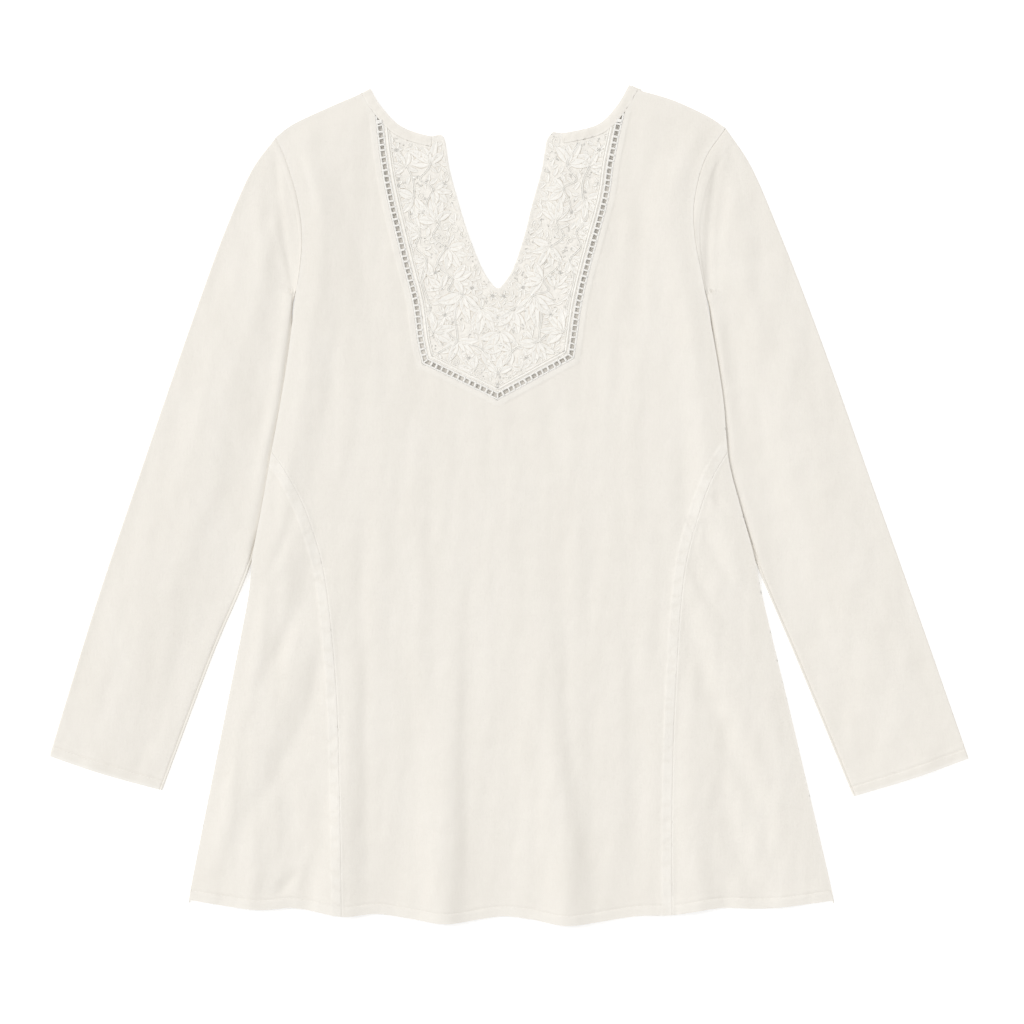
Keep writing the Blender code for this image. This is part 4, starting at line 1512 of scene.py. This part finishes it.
Ring = namedtuple("Ring", "outer_x outer_y inner_x inner_y bow lift crown")
SLEEVE_LEFT = (
    Ring(-214.95, 338.8, -196.15, 196.98, 1.00, 1.0, 0.0),
    Ring(-237.8, 307.0, -199.3, 180.5, 0.72, 0.0, 2.2),
    Ring(-261.9, 251.8, -199.5, 147.7, 0.40, 0.0, 3.2),
    Ring(-284.3, 190.9, -203.6, 97.1, 0.16, 0.0, 3.4),
    Ring(-310.0, 117.3, -215.0, 38.0, 0.0, 0.0, 3.4),
    Ring(-343.2, 19.8, -236.4, -50.1, 0.0, 0.0, 3.4),
    Ring(-380.9, -92.5, -272.4, -137.5, 0.0, 0.0, 3.0),
    Ring(-423.2, -230.6, -319.2, -262.2, 0.0, 0.0, 1.6),
)
SLEEVE_RIGHT = (
    Ring(199.42, 347.4, 180.25, 196.98, 1.00, 1.0, 0.0),
    Ring(223.6, 310.6, 184.6, 179.5, 0.72, 0.0, 2.2),
    Ring(248.4, 252.8, 187.4, 147.7, 0.40, 0.0, 3.2),
    Ring(273.2, 189.8, 191.6, 97.1, 0.16, 0.0, 3.4),
    Ring(301.2, 113.8, 198.4, 38.0, 0.0, 0.0, 3.4),
    Ring(335.8, 15.3, 226.6, -50.1, 0.0, 0.0, 3.4),
    Ring(376.1, -98.0, 267.9, -149.2, 0.0, 0.0, 3.0),
    Ring(423.2, -232.8, 316.8, -267.8, 0.0, 0.0, 1.6),
)
CROWN_STOPS = 0.84
SLEEVE_THICK = 2 * CLOTH + CLEAR
RING_STEP = 0.9
CUFF_DEPTH = 8.4
CUFF_BOW = 1.5
CUFF_REACH = 15.0  # how far up from the cuff, and down from the armhole, the rows lie close
HEAD_REACH = 14.0

LEFT_CREASES = (
    Crease(-214.5, 324, -197, 194, -1.7, 3.2, -3),
    Crease(-223, 272, -208, 192, -0.8, 7, 0),
    Crease(-226, 300, -214, 160, 0.6, 6, -8),
    Crease(-206, 190, -222, 60, 0.7, 5, 4),
    Crease(-238, 270, -262, 120, -0.5, 7, 6),
    Crease(-252, 220, -288, 90, 0.5, 8, -5),
    Crease(-232, 150, -262, 20, -0.5, 6, 5),
    Crease(-290, 130, -322, 10, -0.4, 8, 4),
    Crease(-262, 40, -298, -80, 0.5, 7, -5),
    Crease(-300, 20, -350, -120, -0.45, 9, 6),
    Crease(-330, -20, -372, -150, 0.4, 8, -5),
    Crease(-290, -80, -330, -200, -0.5, 7, 5),
    Crease(-356, -130, -392, -222, -0.4, 7, 4),
    Crease(-330, -210, -345, -246, -0.7, 3.5, 2),
    Crease(-310, -170, -322, -240, 0.5, 5, 2),
)
RIGHT_CREASES = (
    Crease(196, 332, 184, 200, -2.1, 3.6, -5),
    Crease(204, 328, 192, 206, -1.3, 7, -4),
    Crease(212, 322, 196, 180, 0.5, 6, -3),
    Crease(200, 338, 212, 296, -0.7, 4, 0),
    Crease(196, 190, 206, 60, 0.7, 5, -4),
    Crease(226, 268, 250, 110, -0.5, 7, -6),
    Crease(244, 214, 276, 90, 0.5, 8, 5),
    Crease(220, 150, 250, 10, -0.5, 6, -5),
    Crease(280, 120, 312, 0, -0.4, 8, -4),
    Crease(252, 30, 290, -90, 0.5, 7, 5),
    Crease(292, 10, 342, -130, -0.45, 9, -6),
    Crease(322, -30, 366, -160, 0.4, 8, 5),
    Crease(284, -90, 326, -206, -0.5, 7, -5),
    Crease(350, -140, 388, -226, -0.4, 7, -4),
    Crease(312, -180, 326, -248, 0.5, 5, -2),
)
SLEEVE_HEAD = (4.0, 9.5)  # the width of the turnings at each armhole
SLEEVE_RISE = 1.6  # how far a sleeve comes up just clear of the body's edge
UNDERARM_SEAM = 2.4  # the seam's place beside the inner edge


def sleeve_mesh(name, rings, armhole, edge, creases, k):
    """A flattened tube with rounded folds, in rows from the armhole to the cuff."""
    line = np.array(smooth_line(rings, RING_STEP))
    middle = (line[:, 0:2] + line[:, 2:4]) / 2
    run = run_along(middle)
    from_cuff = run[-1] - run
    wanted = (np.arange(len(line)) % 5 == 0) | (from_cuff < CUFF_REACH) | (run < HEAD_REACH)
    wanted[-1] = True
    line, run, from_cuff = line[wanted], run[wanted], from_cuff[wanted]
    shares = run_along(armhole) / run_along(armhole)[-1]
    chord = armhole[0] + (armhole[-1] - armhole[0]) * shares[:, None]
    bows = np.array(armhole) - chord
    width = np.linalg.norm(line[:, 2:4] - line[:, 0:2], axis=1)[:, None]
    near = np.array((0, 0.2, 0.5, 0.9, 1.35, 1.9, 2.4, 2.9, 3.8, 5.2))
    skins = []
    for inset in (0.0, CLOTH):
        edge_mm = near + inset
        inner = np.linspace(0.0, 1.0, 36)[1:-1]
        lead = edge_mm / width
        v = np.hstack((lead, lead[:, -1:] + (1 - 2 * lead[:, -1:]) * inner, 1 - lead[:, ::-1]))
        bow = np.dstack([np.interp(v, shares, bows[:, axis]) for axis in (0, 1)])
        plan = line[:, None, 0:2] + (line[:, 2:4] - line[:, 0:2])[:, None] * v[..., None]
        plan = plan + line[:, 4][:, None, None] * bow
        ahead = (middle[-1] - middle[-9]) / np.linalg.norm(middle[-1] - middle[-9])
        bowed = CUFF_BOW * np.sin(math.pi * v) * hump(from_cuff, 0.0, 14.0)[:, None]
        plan = plan + bowed[..., None] * ahead
        x, y = plan[..., 0], plan[..., 1]
        depth = np.minimum(v, 1 - v) * width - inset
        flat = (SLEEVE_THICK - 2 * inset) / 2
        base = np.clip(line[:, 5], 0, 1)[:, None] * lift(edge(y), y)
        fall = rounded(depth, flat)
        inside_edge = soft(depth / 9.0)
        crown = np.sin(math.pi * np.minimum(v / CROWN_STOPS, 1.0)) ** 2 * line[:, 6][:, None]
        under_body = soft((in_from_side(x, y) + 3.0) / 5.0) * (y < armhole[-1][1])
        shape = creased(x, y, creases) + rumpled(x, y, 40 + k, 0.55, upright=0.6)
        relief = crown + inside_edge * shape * soft(run / 6.0)[:, None]
        relief *= 1 - 0.9 * under_body
        clear_of_body = 1 - soft((in_from_side(x, y) + 3.4) / 2.6)
        beside_body = clear_of_body * hump(in_from_side(x, y), -5.0, 7.0) * (y < armhole[-1][1])
        relief += SLEEVE_RISE * beside_body * soft(run / 30.0)[:, None]
        if inset == 0.0:
            up = from_cuff[:, None] * np.ones_like(v)
            pull = -0.35 * puckers(v.ravel() * 110, up.ravel(), 11, 12.0, 44 + k)
            turned = np.where(up < CUFF_REACH, hem_relief(up, pull.reshape(v.shape)), 0.0)
            relief += turned * soft(depth / 1.5)
            head = SLEEVE_HEAD[k]
            into = run[:, None] * np.ones_like(v)
            relief += 0.42 * within(into, head, 1.2) * soft(into / 1.2)
            armpit = v.ravel() * width.mean() * 1.25
            relief -= 0.20 * puckers(armpit, into.ravel(), head + 3, 15.0, 54 + k).reshape(v.shape)
            relief -= 0.8 * hump((1 - v) * width, UNDERARM_SEAM, 0.6)
            fall = fall + rounded(np.minimum(run, from_cuff), EDGE_ROUND)[:, None]
        under = np.dstack((x, y, base + inset + np.minimum(fall, flat)))
        over = np.dstack((x, y, base + SLEEVE_THICK - inset - np.minimum(fall, flat) + relief))
        skins.append(np.hstack((under, over[:, ::-1])))
    rows, around = skins[0].shape[:2]
    points = np.concatenate([skin.reshape(-1, 3) for skin in skins])
    faces = []
    for skin in (0, 1):
        for a in range(rows - 1):
            for b in range(around):
                c = (b + 1) % around
                first, near_row, far_row = skin * rows * around, a * around, (a + 1) * around
                face = [first + n for n in (near_row + b, near_row + c, far_row + c, far_row + b)]
                faces.append(face if skin == k else face[::-1])
    for row, flip in ((0, k), (rows - 1, 1 - k)):
        for b in range(around):
            c = (b + 1) % around
            outer, inner = row * around, (rows + row) * around
            face = [outer + b, outer + c, inner + c, inner + b]
            faces.append(face if flip else face[::-1])
    # Lighter along the cuff's edge.
    worn = np.broadcast_to(hump(from_cuff, 0.0, 2.2)[:, None], (rows, around))
    obj = crisp_edged(mesh_piece(name, points, faces, worn=np.tile(worn.ravel(), 2)))
    cuff = skins[0][np.searchsorted(-from_cuff, -CUFF_DEPTH)]
    return obj, cuff[around // 2 :], run[-1]


sleeve_cotton = washed_cotton("sleeve_cotton", IVORY, IVORY_SHADE, IVORY_LIGHTER)
for k, (name, rings, creases) in enumerate(
    (("left", SLEEVE_LEFT, LEFT_CREASES), ("right", SLEEVE_RIGHT, RIGHT_CREASES))
):
    sleeve, cuff_row, length = sleeve_mesh(
        "sleeve_cloth_" + name, rings, armholes[k], edge_at[k], creases, k
    )
    in_place(sleeve, sleeve_cotton, "cotton", "sleeve_" + name)
    parts = []
    for a in even_steps(cuff_row, STITCH_PITCH)[1:-2]:
        ahead = cuff_row[-1] - cuff_row[0]
        ahead[2] = 0.0
        end = a + ahead * STITCH_LENGTH / np.linalg.norm(ahead)
        parts.append(thread_stitch(a, end, STITCH_THREAD))
    cuff_stitches = mesh_piece("cuff_stitches_" + name, *gathered_mesh(parts))
    in_place(cuff_stitches, hem_thread, "cotton")
    ring_rows = np.array(rings)
    outline = [*ring_rows[:, 0:2], *ring_rows[::-1, 2:4]]
    2 * area_of(outline)


# ---------------------------------------------------------------------------------------------
# The table: a plain white board, evenly lit, and the soft daylight and the camera over it.
# ---------------------------------------------------------------------------------------------

bpy.ops.mesh.primitive_plane_add(size=9.0, location=(0, 0, -0.0004))
table = bpy.context.active_object
table.name = "table"
board = new_finish(
    "white_board",
    Base_Color=(0.90, 0.90, 0.90, 1),
    Roughness=0.9,
    Emission_Color=(1, 1, 1, 1),
    Emission_Strength=0.30,
)[0]
table.data.materials.append(board)
table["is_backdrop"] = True

scene = bpy.context.scene
scene.view_settings.view_transform = "Standard"
world = bpy.data.worlds.new("daylight")
world.use_nodes = True
world.node_tree.nodes["Background"].inputs["Color"].default_value = (1.0, 1.0, 1.0, 1)
world.node_tree.nodes["Background"].inputs["Strength"].default_value = 0.86
scene.world = world

sun = bpy.data.lights.new("window", "SUN")
sun.energy = 1.13
sun.angle = math.radians(25)
window = bpy.data.objects.new("window", sun)
SUN_FROM = Vector((-0.72, 0.38, 0.80))
window.rotation_mode = "QUATERNION"
window.rotation_quaternion = SUN_FROM.to_track_quat("Z", "Y")
scene.collection.objects.link(window)

VIEW_WIDTH = 0.942
VIEW_MIDDLE = (0.00276, -0.00598)
LENS = 120.0
SENSOR = 36.0
GARMENT_LEVEL = 0.004
camera_data = bpy.data.cameras.new("overhead")
camera_data.lens = LENS
camera_data.sensor_width = SENSOR
camera = bpy.data.objects.new("overhead", camera_data)
camera.location = (*VIEW_MIDDLE, GARMENT_LEVEL + VIEW_WIDTH * LENS / SENSOR)
camera_data.clip_end = 20.0
scene.collection.objects.link(camera)
scene.camera = camera

boxes = {"cad": cad_box, "visual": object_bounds()}
{name: [list(corner) for corner in box] for name, box in boxes.items()}
